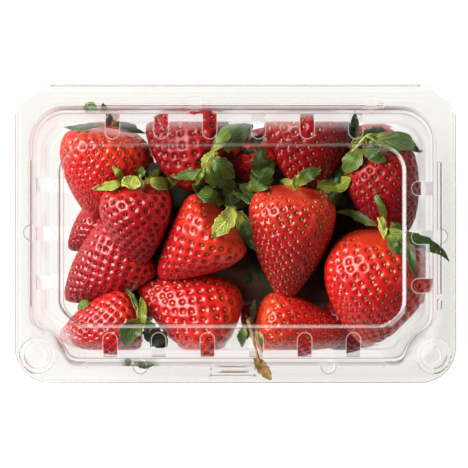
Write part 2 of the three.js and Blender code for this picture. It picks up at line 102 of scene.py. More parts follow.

# ---- Sepals that show: start, tip, width, sideways bend, lift over what they lie on, brightness 0 to 1 (own tone,
# darkened as painted shade where they lie in shade), bluntness 0 to 1 ----
SEPALS = (
    (-54.6, 46.0, -72.3, 45.1, 2.5, 0.0, 1.2, 0.3, 0.3),
    (-52.1, 46.4, -37.8, 42.6, 3.4, 0.8, 1.2, 0.22, 0.3),
    (-53.8, 45.6, -52.9, 51.0, 2.7, 0.0, 1.0, 0.14, 0.5),
    (-52.1, 46.0, -47.0, 47.7, 2.1, 0.0, 1.0, 0.45, 0.4),
    (-47.0, 22.8, -60.5, 19.0, 3.8, 0.8, 1.5, 0.85, 0.45),
    (-47.5, 22.8, -52.1, 28.3, 2.7, -0.6, 3.0, 0.8, 0.4),
    (-42.8, 24.5, -44.1, 19.0, 8.0, 0.0, 1.5, 0.97, 0.8),
    (-40.7, 23.6, -40.3, 29.1, 4.6, 0.0, 3.0, 0.55, 0.3),
    (-37.8, 21.9, -32.7, 27.4, 4.2, -0.4, 3.0, 0.72, 0.35),
    (-36.9, 22.4, -24.7, 21.5, 5.3, -0.4, 2.0, 0.72, 0.75),
    (-44.5, 24.0, -47.9, 20.2, 3.4, 0.0, 1.5, 0.9, 0.5),
    (-39.4, 22.8, -41.1, 19.4, 3.4, 0.0, 1.2, 0.9, 0.5),
    (-11.6, 27.0, -27.6, 24.5, 4.6, 1.3, 1.5, 0.45, 0.4),
    (-9.5, 34.6, -13.7, 26.6, 5.1, 0.0, 1.0, 1.0, 0.8),
    (-9.5, 35.4, 1.9, 46.4, 5.5, 0.8, 3.0, 0.6, 0.4),
    (-4.4, 35.4, 7.4, 46.0, 8.9, 1.3, 3.5, 0.4, 0.6),
    (6.1, 38.4, 11.6, 42.6, 3.8, -0.8, 4.0, 0.1, 0.4),
    (-9.9, 32.9, -0.2, 24.0, 7.2, -0.8, 4.0, 0.38, 0.85),
    (-12.4, 28.7, -9.1, 19.4, 5.9, 0.8, 3.0, 0.45, 0.7),
    (-13.7, 27.8, -16.7, 20.7, 3.0, 0.0, 3.0, 0.75, 0.5),
    (9.1, 36.7, -1.9, 31.6, 3.4, 0.4, 1.0, 0.15, 0.4),
    (-6.1, 12.2, -18.3, 20.7, 6.3, -0.8, 3.0, 0.48, 0.7),
    (-1.9, 11.4, -9.9, -1.3, 8.0, 1.3, 2.5, 0.95, 0.5),
    (0.2, 8.9, 7.4, -4.6, 4.6, -0.6, 2.5, 0.95, 0.35),
    (1.9, 9.7, 11.2, -8.4, 5.5, -1.3, 2.0, 0.3, 0.45),
    (-2.7, 12.7, -11.6, 18.1, 5.1, 0.0, 1.0, 0.28, 0.5),
    (-1.5, 11.8, 7.0, 21.1, 8.4, -0.4, 2.0, 0.2, 0.6),
    (5.3, 18.6, 15.8, 31.2, 9.3, -0.8, 4.0, 0.4, 0.7),
    (9.5, 24.9, 11.2, 37.1, 6.3, 0.0, 2.0, 0.28, 0.6),
    (25.9, 22.4, 18.8, 22.8, 3.0, 0.8, 1.5, 0.9, 0.5),
    (25.5, 24.0, 25.1, 18.1, 2.3, -0.4, 1.5, 0.65, 0.4),
    (26.4, 20.7, 36.1, 27.4, 5.5, 0.8, 3.0, 0.45, 0.5),
    (34.4, 20.7, 48.7, 23.6, 7.2, -1.7, 2.5, 0.82, 0.7),
    (39.9, 17.3, 47.9, 11.0, 5.5, 0.0, -1, 0.14, 0.6),
    (42.4, 21.5, 45.8, 28.7, 3.4, 0.0, 2.0, 0.2, 0.4),
    (51.7, 36.3, 46.6, 25.3, 7.6, 0.0, 2.5, 0.5, 0.7),
    (48.3, 36.3, 57.6, 43.0, 3.4, 0.4, 2.5, 0.93, 0.6),
    (52.1, 40.5, 63.9, 44.3, 4.6, 0.8, 3.0, 0.3, 0.4),
    (55.0, 40.1, 79.1, 34.6, 7.6, 1.7, 3.5, 0.55, 0.4),
    (53.4, 35.9, 63.5, 30.8, 5.9, 0.0, 2.0, 0.33, 0.5),
    (49.1, 39.2, 50.8, 51.5, 3.8, 0.0, 1.0, 0.14, 0.4),
    (55.9, 42.2, 62.6, 37.1, 4.2, -1.3, 3.0, 0.12, 0.4),
    (61.4, 3.4, 42.4, 9.3, 4.0, -1.3, 3.5, 0.45, 0.3),
    (63.1, 4.6, 58.4, 19.0, 3.0, -0.4, 4.0, 0.6, 0.2),
    (61.8, 7.2, 62.6, -1.7, 3.4, 0.0, 2.0, 1.0, 0.5),
    (63.1, 0.8, 73.2, -5.5, 7.2, 0.4, 3.0, 0.6, 0.5),
    (64.3, 2.5, 70.7, 5.1, 5.9, 0.0, 3.0, 0.55, 0.5),
    (70.2, -2.5, 76.6, -19.4, 3.4, 0.8, 2.0, 0.35, 0.35),
    (64.3, -0.8, 70.2, -9.3, 4.2, -0.4, 2.0, 0.45, 0.4),
    (-61.8, -27.8, -66.9, -32.1, 3.4, 0.0, 1.0, 0.6, 0.5),
    (-41.1, -32.9, -47.5, -20.7, 1.9, -0.4, 2.0, 0.5, 0.25),
    (-39.0, -38.8, -39.9, -26.6, 4.2, 0.0, 3.0, 0.85, 0.4),
    (-39.9, -36.3, -46.6, -48.1, 8.4, -1.3, 1.5, 0.45, 0.6),
    (-38.6, -40.5, -28.9, -47.2, 8.0, 0.0, 3.0, 0.06, 0.9),
    (-37.8, -37.1, -34.4, -43.0, 5.1, 0.0, 1.5, 0.4, 0.5),
    (3.2, -39.2, 2.7, -47.7, 4.2, 0.0, 2.0, 0.55, 0.5),
    (9.9, -40.9, 11.2, -48.5, 2.5, 0.0, 2.0, 0.85, 0.4),
    (6.1, -35.4, 4.9, -44.7, 3.4, 0.0, 1.0, 0.2, 0.4),
    (8.2, -27.8, 6.1, -38.8, 2.1, 0.0, 1.0, 0.1, 0.3),
)
# ---- Sepals caught between the flanges or held at a height: points along the middle, width, brightness (own
# tone, darkened as painted shade where they lie in shade), bluntness ----
CAUGHT_SEPALS = (
    (((66.0, 1.3, 60), (77.0, -2.5, 63), (83.7, -5.9, 56.2), (86.7, -7.2, 55.25), (90.1, -11.4, 55.22)),
     5.6, 0.38, 0.5),
    (((-60.5, 49.8, 56.5), (-61.0, 51.9, 55.5), (-61.0, 53.1, 55.25), (-60.1, 55.7, 55.22)), 6.0, 0.55, 0.8),
    (((-54.6, 49.8, 56.5), (-55.0, 51.9, 55.5), (-55.5, 53.1, 55.25), (-55.9, 55.3, 55.22)), 3.2, 0.2, 0.5),
    (((-42.8, -54.2, 55.22), (-38.6, -55.5, 55.24), (-34.4, -55.0, 55.22)), 3.1, 0.3, 0.7),
    (((-45.3, -51.6, 55.9), (-45.3, -53.0, 55.3), (-45.3, -55.8, 55.22)), 2.8, 0.35, 0.7),
    (((59.7, 39.6, 57), (68.5, 42.6, 58), (73.6, 41.3, 57.5), (75.3, 38.0, 58)), 2.0, 0.45, 0.4),
)
DRY_LEAF = ((8.4, -52.0, 58.9), (10.2, -55.2, 58.3), (12.8, -58.4, 57.9), (15.0, -61.4, 57.6))
# ---- Stalks: points along the middle, and the radius at both ends in shares of STALK_WIDTH ----
STALKS = (
    (((60.1, 6.7, 62), (61.4, 3.4, 64), (62.2, 0.8, 63), (63.1, -2.1, 59)), 0.8, 1.5),
    (((49.1, 34.6, 60), (52.5, 38.4, 62), (55.0, 41.3, 62), (57.6, 42.2, 61)), 0.9, 0.7),
    (((55.0, 41.3, 62), (58.4, 39.6, 62), (61.8, 36.7, 60)), 0.7, 0.5),
    (((-13.7, 26.6, 60), (-12.4, 29.9, 62), (-10.3, 33.7, 62), (-7.4, 37.1, 60)), 1.3, 1.6),
    (((-11.6, 27.0, 59), (-9.9, 30.8, 61), (-7.8, 34.6, 61)), 1.0, 1.2),
    (((-1.5, 11.4, 62), (0.2, 9.3, 62), (1.9, 7.2, 61)), 0.8, 1.2),
    (((23.8, 21.1, 61), (25.5, 22.8, 62), (26.8, 24.9, 60)), 1.1, 0.8),
    (((-40.7, 21.1, 60), (-40.3, 22.8, 62), (-39.9, 24.9, 61)), 1.2, 0.8),
)
STALK_WIDTH = 0.75
DRY_STALK = ((5.3, -36.3, 50), (7.0, -42.2, 54), (8.2, -47.2, 58), (9.1, -50.6, 59.4), (10.4, -54.0, 58.6))
# ---- Leaves deep in the gaps: start, tip, width, bend, height, brightness (kept low as painted shade), bluntness ----
DEEP_LEAVES = (
    (-31.8, 16.0, -20.9, 8.4, 6.7, 0.0, 28, 0.21, 0.7),
    (-25.1, 18.6, -31.8, 8.4, 5.9, 0.0, 30, 0.19, 0.6),
    (1.9, -11.8, 20.5, -27.8, 10.1, 1.3, 34, 0.25, 0.7),
    (11.2, -11.8, 3.6, -27.8, 7.6, 0.8, 33, 0.22, 0.6),
    (6.1, -8.9, 23.0, -20.2, 7.6, 0.0, 36, 0.24, 0.6),
    (32.3, -16.0, 43.2, -32.9, 8.4, 0.0, 32, 0.34, 0.7),
    (44.1, -14.3, 34.0, -27.8, 6.7, 0.8, 30, 0.24, 0.6),
    (-1.5, 20.7, 17.1, 11.8, 8.4, 0.0, 47, 0.42, 0.8),
    (-5.7, 17.3, 3.6, 11.4, 7.6, 0.0, 48, 0.61, 0.7),
    (-18.3, 16.5, -25.1, 8.0, 5.1, 0.0, 38, 0.21, 0.6),
    (-9.0, 24.5, 0.0, 18.0, 6.0, 0.6, 50, 0.4, 0.7),
)


# ---- Small helpers ----
def smoothstep(low, high, value):
    x = np.clip((value - low) / (high - low), 0.0, 1.0)
    return x * x * (3 - 2 * x)


def band(value, rise, full, fade, end):
    """1 between full and fade, 0 below rise and above end."""
    return smoothstep(rise, full, value) * smoothstep(end, fade, value)


def unit(vectors):
    """The vectors at length one."""
    return vectors / np.maximum(np.linalg.norm(vectors, axis=-1, keepdims=True), 1e-9)


def along_path(path, shares, rounds):
    """Points at given shares of a path's length, with the corners rounded off."""
    path = np.array(path, float)
    reach = np.concatenate([[0], np.cumsum(np.linalg.norm(np.diff(path, axis=0), axis=1))])
    line = np.column_stack([np.interp(shares * reach[-1], reach, path[:, k]) for k in range(3)])
    for _ in range(rounds):
        line[1:-1] = (line[:-2] + 2 * line[1:-1] + line[2:]) / 4
    return line


def ring_faces(levels, around):
    """Faces of stacked closed rings of points, with a pole at either end after them in the list."""
    count, faces = levels * around, []
    for low in range(0, count - around, around):
        for k in range(around):
            after = (k + 1) % around
            faces.append((low + k, low + after, low + around + after, low + around + k))
    for k in range(around):
        after = (k + 1) % around
        faces += [(count, after, k), (count + 1, count - around + k, count - around + after)]
    return faces


def add_piece(name, points, faces, material, body, masks=None):
    """A smooth-shaded mesh object from points in millimetres, riding on a body."""
    mesh = bpy.data.meshes.new(name)
    mesh.from_pydata((np.asarray(points, float) * MM).tolist(), [], faces)
    mesh.update()
    mesh.polygons.foreach_set("use_smooth", [True] * len(mesh.polygons))
    for key, values in (masks or {}).items():
        mesh.attributes.new(key, "FLOAT", "POINT").data.foreach_set("value", np.asarray(values, np.float32))
    mesh.materials.append(material)
    piece = bpy.data.objects.new(name, mesh)
    bpy.context.scene.collection.objects.link(piece)
    if body:
        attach(piece, body)
    return piece


class Joined:
    """Collects the meshes of one kind into one piece of the fruit."""

    def __init__(self):
        self.points, self.faces, self.masks, self.total = [], [], {}, 0

    def add(self, points, faces, **masks):
        self.points.append(points)
        self.faces += [tuple(i + self.total for i in face) for face in faces]
        self.total += len(points)
        for key, value in masks.items():
            self.masks.setdefault(key, []).append(np.broadcast_to(np.asarray(value, float), len(points)))

    def piece(self, name, material):
        masks = {key: np.concatenate(parts) for key, parts in self.masks.items()}
        return add_piece(name, np.vstack(self.points), self.faces, material, "tray_body", masks)


class Look:
    """A node tree in the making. Its methods add nodes and return the output socket asked for."""

    def __init__(self, name, owner=None):
        self.owner = owner or bpy.data.materials.new(name)
        self.owner.use_nodes = True
        self.tree = self.owner.node_tree

    def feed(self, socket, value):
        """Links or sets a socket. A colour is given as RGB."""
        if isinstance(value, bpy.types.NodeSocket):
            self.tree.links.new(value, socket)
        else:
            socket.default_value = (*value, 1) if socket.type == "RGBA" else value

    def add(self, kind, inputs, output=0, **settings):
        made = self.tree.nodes.new("ShaderNode" + kind)
        for key, value in settings.items():
            setattr(made, key, value)
        for key, value in inputs.items():
            self.feed(made.inputs[key], value)
        return made.outputs[output]

    def math(self, operation, *values, **settings):
        return self.add("Math", dict(enumerate(values)), operation=operation, **settings)

    def ramp(self, value, start, end, low=0.0, high=1.0, **settings):
        """Runs from low where the value is start to high where it is end."""
        ends = {"From Min": start, "From Max": end, "To Min": low, "To Max": high}
        return self.add("MapRange", {"Value": value, **ends}, **settings)

    def mix(self, factor, first, second):
        return self.add("Mix", {0: factor, 6: first, 7: second}, 2, data_type="RGBA")

    def blend(self, factor, first, second):
        return self.add("MixShader", {0: factor, 1: first, 2: second})

    def mask(self, name):
        return self.add("Attribute", {}, "Fac", attribute_name=name)

    def ray(self, kind):
        return self.add("LightPath", {}, kind)

    def place(self, kind="Object"):
        return self.add("TexCoord", {}, kind)

    def noise(self, scale, detail=3.0, roughness=0.5, low=0.0, high=1.0):
        """Noise of about 1/scale metres, stretched to run from 0 at low to 1 at high."""
        inputs = {"Vector": self.place(), "Scale": scale, "Detail": detail, "Roughness": roughness}
        return self.ramp(self.add("TexNoise", inputs), low, high)

    def varied(self, scale, low, high, detail=3.0):
        """A number that wanders between two values."""
        return self.ramp(self.noise(scale, detail), 0.0, 1.0, low, high)

    def bump(self, height, strength, distance=0.0003):
        return self.add("Bump", {"Height": height, "Strength": strength, "Distance": distance})

    def finish(self, inputs, shader="Principled BSDF"):
        """Feeds the shader that the tree came with, and gives the material."""
        for key, value in inputs.items():
            self.feed(self.tree.nodes[shader].inputs[key], value)
        return self.owner


# ---- Berries ----
CALYX_DIMPLE = 0.02
PIT_DEPTH, PILLOW = 0.72, 0.13
USUAL_SPACING = 3.8  # between pits of the usual depth
SEED_SIZE = (0.88, 0.5, 0.4)  # half length, width and height
UNDERSIDE = 1.7  # how much coarser the mesh is where a berry faces down
GOLDEN_ANGLE = math.pi * (3 - math.sqrt(5))
UPPER_STEP, LOWER_STEP = 0.55, 1.1
UPPER_SEED_SIDES, LOWER_SEED_SIDES = 6, 4


def local_spacing(spacing, t):
    """Pits lie closer at the tip."""
    return spacing * (1.2 - 0.45 * t)


def pit_size(spacing):
    return (spacing / USUAL_SPACING) ** 0.85


def calyx_depth(t):
    """Pits are shallower round the calyx."""
    return 0.3 + 0.7 * smoothstep(0.0, 0.12, t)


def fullness(t, shape):
    """Share of half the girth at share t of the way from calyx to tip."""
    widest, point = shape
    along = np.power(t, widest)
    return np.power(np.maximum(4 * along * (1 - along), 0.0), point / 2)


class BerryForm:
    """The smooth body of one berry, as a surface over t (calyx to tip) and an angle round its axis."""

    def __init__(self, calyx, tip, girth, shape, seed):
        self.start = np.array(calyx, float)
        along = np.array(tip, float) - self.start
        self.length, self.axis = float(np.linalg.norm(along)), unit(along)
        self.side = unit(np.cross(self.axis, (0, 0, 1)))
        self.upward = np.cross(self.side, self.axis)
        self.girth, self.shape = girth, shape
        self.lumps = np.random.default_rng(seed).uniform(0, 2 * math.pi, 5)

    def full(self, t):
        return fullness(t, self.shape)

    def points(self, t, angle):
        lumps = self.lumps
        uneven = 1 + 0.018 * np.cos(2 * angle + 2 * t + lumps[0]) + 0.014 * np.cos(3 * angle + 4 * t + lumps[1])
        uneven = uneven + 0.01 * np.sin(5 * angle + 7 * t + lumps[2]) + 0.008 * np.sin(2 * angle - 11 * t + lumps[3])
        radius = self.girth / 2 * self.full(t) * uneven
        reach = self.length * (t + CALYX_DIMPLE * smoothstep(0.15, 0.0, t))
        parts = ((reach, self.axis), (radius * np.cos(angle), self.side), (radius * np.sin(angle), self.upward))
        return self.start + sum(amount[..., None] * heading for amount, heading in parts)

    def normals(self, t, angle):
        step = 1e-3
        middle = np.clip(t, 1e-4, 1 - 1e-4)
        down = self.points(np.clip(t + step, 0, 1 - 1e-4), angle) - self.points(np.clip(t - step, 1e-4, 1), angle)
        over = self.points(middle, angle + step) - self.points(middle, angle - step)
        normal = unit(np.cross(down, over))
        outward = self.points(t, angle) - self.start - (self.length * t)[..., None] * self.axis
        return np.where(np.sum(normal * outward, axis=-1, keepdims=True) < 0, -normal, normal)

    def pits(self, spacing, rng):
        """Shares t, angles and local spacings of the pits, on a golden spiral that is closer at the tip."""
        t = np.linspace(0, 1, 2000) ** 2
        radius = self.girth / 2 * self.full(t)
        steps = np.hypot(np.diff(radius), np.diff(t) * self.length)
        local = local_spacing(spacing, t)
        patch = math.pi * (radius[1:] + radius[:-1]) * steps / (0.87 * local[1:] ** 2)
        number = np.concatenate([[0], np.cumsum(patch)])
        count = int(number[-1])
        order = np.arange(count) + 0.5 + rng.normal(0, 1.3, count)
        angle = np.arange(count) * GOLDEN_ANGLE + rng.normal(0, 0.025, count)
        place = np.interp(np.clip(order, 0, count), number, t)
        keep = (self.full(place) > np.where(place < 0.2, 0.6, 0.26)) & (place < 0.99)
        return place[keep], angle[keep], np.interp(place[keep], t, local)

    def levels(self, step):
        """Shares t at about equal steps along the skin from calyx to tip."""
        t = np.linspace(0, 1, 3000) ** 3
        t = np.sort(np.concatenate([t, 1 - t]))
        path = np.cumsum(np.hypot(np.diff(t) * self.length, np.diff(self.full(t)) * self.girth / 2))
        path = np.concatenate([[0], path])
        count = int(path[-1] / step)
        return np.interp(np.arange(1, count) / count * path[-1], path, t)


def berry_mesh(form, spacing, step, seed):
    """Points, faces and masks of the pitted flesh, and where each seed lies."""
    rng = np.random.default_rng(seed)
    half = max(12, int(math.pi * form.girth / 2 / step))
    upper = np.linspace(-0.1, 1.1, int(1.2 * half)) * math.pi
    lower = np.linspace(1.1, 1.9, int(0.8 * half / UNDERSIDE) + 2)[1:-1] * math.pi
    angle, levels = np.concatenate([upper, lower]), form.levels(step)
    t, turn = np.meshgrid(levels, angle, indexing="ij")
    points, normals = form.points(t, turn), form.normals(t, turn)
    pit_t, pit_turn, local = form.pits(spacing, rng)
    pit_points, pit_normals = form.points(pit_t, pit_turn), form.normals(pit_t, pit_turn)
    flat = points.reshape(-1, 3)
    square = (flat**2).sum(1)[:, None] + (pit_points**2).sum(1)[None, :] - 2 * flat @ pit_points.T
    two = np.sqrt(np.maximum(np.partition(square, 1, axis=1)[:, :2], 0))
    nearest, second = two.T.reshape(2, *t.shape)
    size = pit_size(local_spacing(spacing, t))
    wall = smoothstep(0.6 * size, 1.55 * size, nearest)
    pillow = smoothstep(0.8 * size, 2.2 * size, nearest - 0.25 * smoothstep(1.0, 0.0, second - nearest))
    ends = smoothstep(0.1, 0.3, form.full(t)) * calyx_depth(t)
    sink = PIT_DEPTH * size * (wall - 1) + PILLOW * size * (pillow - 1)
    points = points + normals * (ends * sink)[..., None]
    poles = [form.points(np.array(end), np.array(0.0)) for end in (0.0, 1.0)]
    # The second mask marks each pit's hollow, where the skin is darkened as painted shade.
    masks = {"ripe": np.append(t.ravel(), [0, 1]), "pit_shade": np.append(((1 - wall) * ends).ravel(), [0, 0])}
    sunk = (PIT_DEPTH + PILLOW) * pit_size(local) * calyx_depth(pit_t) - 0.2
    seeds = (pit_points - pit_normals * sunk[:, None], pit_normals, form.axis)
    return np.vstack([points.reshape(-1, 3), poles]), ring_faces(len(levels), len(angle)), masks, seeds


def seed_mesh(places, normals, axis, sides, rng):
    """Teardrop seeds lying along the berry, one per pit, and a random tone for each."""
    along = unit(axis - normals * (normals @ axis)[:, None] + rng.normal(0, 0.12, normals.shape))
    size = rng.uniform(0.8, 1.2, len(places))[:, None]
    turn = 2 * math.pi * np.arange(sides) / sides
    rings = [np.column_stack([np.full(sides, reach), width * np.cos(turn), width * np.sin(turn)])
             for reach, width in ((-0.45, 0.8), (0.25, 0.95))]
    local = np.vstack([*rings, [[-1, 0, 0], [1, 0, 0]]]) * SEED_SIZE
    basis = np.stack([along, np.cross(normals, along), normals], axis=1)
    points = places[:, None, :] + size[:, None] * (local @ basis)
    faces = [tuple(i + n * len(local) for i in face)
             for n in range(len(places)) for face in ring_faces(len(rings), sides)]
    return points.reshape(-1, 3), faces, np.repeat(rng.uniform(0, 1, len(places)), len(local))


def flesh_material(name, colours, warmth):
    """Glossy, slightly translucent skin: deep at the tip, warm towards the calyx, and darkened in the pits as painted
    shade.
    """
    look = Look(name)
    deep, bright, warm = colours
    shaded = tuple(0.5 * (a + b) for a, b in zip(deep, bright))
    colour = look.mix(look.noise(90, 3, 0.5, 0.3, 0.7), shaded, bright)
    near = look.ramp(look.mask("ripe"), 0.42, 0.0, 0.0, warmth)
    colour = look.mix(look.math("MULTIPLY", near, look.noise(160, 4, 0.6, 0.25, 0.65)), colour, warm)
    colour = look.mix(look.ramp(look.mask("ripe"), 0.45, 1.0, 0.0, 0.45), colour, deep)
    # Painted shade: the skin darkens down into each pit.
    colour = look.mix(look.ramp(look.mask("pit_shade"), 0.1, 0.85, 0.0, 0.65), colour, deep)
    gloss, coat = (0.28, 0.06) if colours is GARNET else (0.55, 0.22)
    return look.finish({
        "Base Color": colour, "Roughness": look.varied(700, 0.27, 0.37), "Specular IOR Level": gloss,
        "Subsurface Weight": 0.18, "Subsurface Radius": (1.0, 0.2, 0.15), "Subsurface Scale": 0.0022,
        "Coat Weight": coat, "Coat Roughness": 0.08, "Normal": look.bump(look.noise(1500), 0.15)})


def seed_material(name, colour):
    look = Look(name)
    pale, dark = tuple(min(1.0, 1.4 * c) for c in colour), tuple(0.5 * c for c in colour)
    own = look.mix(look.mask("tone"), dark, pale)
    mottled = look.mix(look.noise(900, 2, 0.5, 0.3, 0.7), dark, own)
    return look.finish({"Base Color": mottled, "Roughness": look.varied(2500, 0.2, 0.4)})


def make_berries():
    pieces, seeds = [], {}

    def add_berry(name, skin, mesh, seed_colour, seed_sides):
        points, faces, masks, where = mesh
        pieces.append(add_piece(name, points, faces, skin, "tray_body", masks))
        seeds.setdefault(seed_colour, []).append((*where, seed_sides))

    for k, (calyx, tip, girth, shape, spacing, colours, warmth, seed_colour) in enumerate(BERRIES):
        mesh = berry_mesh(BerryForm(calyx, tip, girth, shape, 100 + k), spacing, UPPER_STEP, 200 + k)
        skin = flesh_material(f"strawberry_skin_{k + 1:02d}", colours, warmth)
        add_berry(f"strawberry_{k + 1:02d}", skin, mesh, seed_colour, UPPER_SEED_SIDES)
    skins = [flesh_material(f"lower_skin_{k}", colours, 0.4) for k, colours in enumerate((SCARLET, CRIMSON, SCARLET))]
    places = [(row, column) for row in range(len(LOWER_ROWS)) for column in range(len(LOWER_COLUMNS))]
    for k, (row, column) in enumerate(places):
        x, y, z = LOWER_COLUMNS[column], LOWER_ROWS[row], LOWER_Z + 0.8 * math.sin(row + 2 * column)
        angle = 0.5 * math.sin(2.3 * row + 1.7 * column) + (math.pi if column % 2 else 0)
        reach = LOWER_LENGTH / 2 * np.array([math.cos(angle), math.sin(angle) * 0.6])
        calyx, tip = (x - reach[0], y - reach[1], z), (x + reach[0], y + reach[1], z - 1)
        form = BerryForm(calyx, tip, LOWER_GIRTH, LOWER_SHAPE, 300 + k)
        mesh = berry_mesh(form, LOWER_SPACING, LOWER_STEP, 400 + k)
        add_berry(f"lower_strawberry_{k + 1:02d}", skins[k % 3], mesh, (RUST, GOLD)[k % 2], LOWER_SEED_SIDES)
    rng = np.random.default_rng(7)
    for colour, label in ((GOLD, "gold"), (RUST, "rust"), (WINE, "wine")):
        joined = Joined()
        for where in seeds[colour]:
            points, faces, tone = seed_mesh(*where, rng)
            joined.add(points, faces, tone=tone)
        pieces.append(joined.piece(f"seeds_{label}", seed_material(f"seed_{label}", colour)))
    return pieces


def heap_height(x, y):
    """Height of the smooth fruit at (x, y), or a low number beside it."""
    x, y = np.asarray(x, float), np.asarray(y, float)
    top = np.full(x.shape, -1e3)
    for calyx, tip, girth, shape, *_ in BERRIES:
        dx, dy = tip[0] - calyx[0], tip[1] - calyx[1]
        plan = math.hypot(dx, dy)
        t = ((x - calyx[0]) * dx + (y - calyx[1]) * dy) / plan**2
        aside = ((x - calyx[0]) * dy - (y - calyx[1]) * dx) / plan
        share = np.clip(t, 0, 1)
        over = (girth / 2 * fullness(share, shape)) ** 2 - aside**2
        height = calyx[2] + share * (tip[2] - calyx[2]) + np.sqrt(np.maximum(over, 0))
        top = np.where((t > 0) & (t < 1) & (over > 0), np.maximum(top, height), top)
    return top


# ---- Leaves ----
LEAF_THICKNESS = 0.3
LEAF_ALONG, LEAF_ACROSS = 29, 10
LEAF_DROP = 1.3  # the steepest fall along or across a leaf
HEAP_TOP, BARE_HEIGHT = 72.5, 50.0
# The greens run from leaves darkened as painted shade up to lit, yellow-green ones.
LEAF_GREENS = ((0.0, (0.006, 0.009, 0.003)), (0.15, (0.016, 0.03, 0.006)), (0.35, (0.04, 0.085, 0.012)),
               (0.6, (0.11, 0.17, 0.016)), (0.85, (0.24, 0.30, 0.028)), (1.0, (0.36, 0.38, 0.055)))
LEAF_ROOT = (0.42, 0.41, 0.05)


def sheet_solid(sheet):
    """Points and faces of a thin closed sheet round a grid of points."""
    normal = unit(np.cross(np.gradient(sheet, axis=0), np.gradient(sheet, axis=1)))
    sides = [(sheet + way * normal * LEAF_THICKNESS / 2).reshape(-1, 3) for way in (1, -1)]
    count = len(sides[0])
    index = np.arange(count).reshape(sheet.shape[:2])
    a, b, c, d = (part.ravel() for part in (index[:-1, :-1], index[1:, :-1], index[1:, 1:], index[:-1, 1:]))
    faces = np.column_stack([a, b, c, d, count + a, count + d, count + c, count + b]).reshape(-1, 4).tolist()
    rim = np.concatenate([index[0], index[1:, -1], index[-1, -2::-1], index[-2:0:-1, 0]])
    after = np.roll(rim, -1)
    return np.vstack(sides), faces + np.column_stack([rim, after, count + after, count + rim]).tolist()


def leaf_grid(start, tip, width, bend, blunt, rng):
    """Plan of a leaf: its centre line, half widths with ragged edges, and the direction across."""
    s = np.linspace(0, 1, LEAF_ALONG)
    c = np.linspace(-1, 1, LEAF_ACROSS + 1)
    start, tip = np.array(start, float), np.array(tip, float)
    length, heading = np.linalg.norm(tip - start), unit(tip - start)
    across = np.array([-heading[1], heading[0]])
    sway = bend * np.sin(math.pi * s) + 0.03 * length * np.sin(2 * math.pi * s + rng.uniform(0, 6)) * s * (1 - s) * 4
    middle = start + s[:, None] * (tip - start) + sway[:, None] * across
    slope = unit(np.gradient(middle, axis=0))
    sideways = np.column_stack([-slope[:, 1], slope[:, 0]])
    peak = 0.35 + 0.2 * blunt
    fall = 1.1 - 0.45 * blunt
    rise = fall * peak / (1 - peak)
    shape = np.power(s, rise) * np.power(1 - s, fall)
    half = width / 2 * np.maximum(shape / shape.max(), 0.45 * (1 - s) ** 3)
    half[-1] = 0.05 * width
    teeth = []
    for _ in range(2):
        phase, number = rng.uniform(0, 1), rng.uniform(3.5, 5.5)
        saw = (s * number + phase) % 1.0
        lobes = np.interp(s, np.linspace(0, 1, 12), rng.normal(0, 0.07, 12))
        teeth.append(1 + (0.24 * (saw - 0.5) + lobes) * np.sin(math.pi * s))
    reach = np.where(c[None, :] < 0, teeth[0][:, None], teeth[1][:, None])
    ragged = 1 + (reach - 1) * np.abs(c)[None, :] ** 3
    grid = middle[:, None, :] + (half[:, None] * ragged * c[None, :])[..., None] * sideways[:, None, :]
    return s, c, grid


def keep_off(heights, steps):
    """Raises heights where they fall by more than a given step from one to the next, either way."""
    for k, step in enumerate(steps):
        heights[k + 1] = np.maximum(heights[k + 1], heights[k] - step)
    for k, step in reversed(list(enumerate(steps))):
        heights[k] = np.maximum(heights[k], heights[k + 1] - step)


def leaf_masks(s, c):
    return {"along": np.tile(np.repeat(s, len(c)), 2), "side": np.tile(np.tile(c, len(s)), 2)}


def leaf_mesh(start, tip, width, bend, lift, blunt, seed, level=None):
    """A thin wavy closed sheet with a fold along its middle, at a level or laid over what is under it."""
    rng = np.random.default_rng(seed)
    s, c, grid = leaf_grid(start, tip, width, bend, blunt, rng)
    phase = rng.uniform(0, 2 * math.pi, 3)
    aside, swell = np.abs(c)[None, :], np.sin(math.pi * s)[:, None]
    arch = max(lift, 0) * np.sin(math.pi * np.clip(s * 1.05, 0, 1)) - 2.0 * s**3
    cup = rng.uniform(0.14, 0.34) * (1 if rng.uniform() < 0.6 else -0.7)
    fold = cup * width * aside**1.4 * (0.4 + 0.6 * swell)
    roll = rng.uniform(-0.22, 0.22) * width * c[None, :] * swell
    wave = 0.11 * width * aside**2 * np.sin(13 * s[:, None] + phase[0] + 1.5 * np.sign(c)[None, :])
    if level is None:
        under = float(heap_height(*start))
        base = under if under > 0 else BARE_HEIGHT
        rest = heap_height(grid[..., 0], grid[..., 1]) + 0.5
        middle = LEAF_ACROSS // 2
        spine = np.maximum(rest[:, middle], base + 0.3 - 6 * s) + np.maximum(arch, 0)
        for _ in range(4):
            spine[1:-1] = np.maximum(spine[1:-1], (spine[:-2] + 2 * spine[1:-1] + spine[2:]) / 4)
        keep_off(spine, LEAF_DROP * np.linalg.norm(np.diff(grid[:, middle], axis=0), axis=1))
        z = np.maximum(spine[:, None] + fold + roll + wave, rest)
        keep_off(z.T, LEAF_DROP * np.linalg.norm(np.diff(grid, axis=1), axis=2).T)
    else:
        z = level + arch[:, None] + fold + roll + wave
    z = np.minimum(z, HEAP_TOP - 0.02 * np.arange(LEAF_ACROSS + 1)[None, :])
    return *sheet_solid(np.dstack([grid, z])), leaf_masks(s, c)


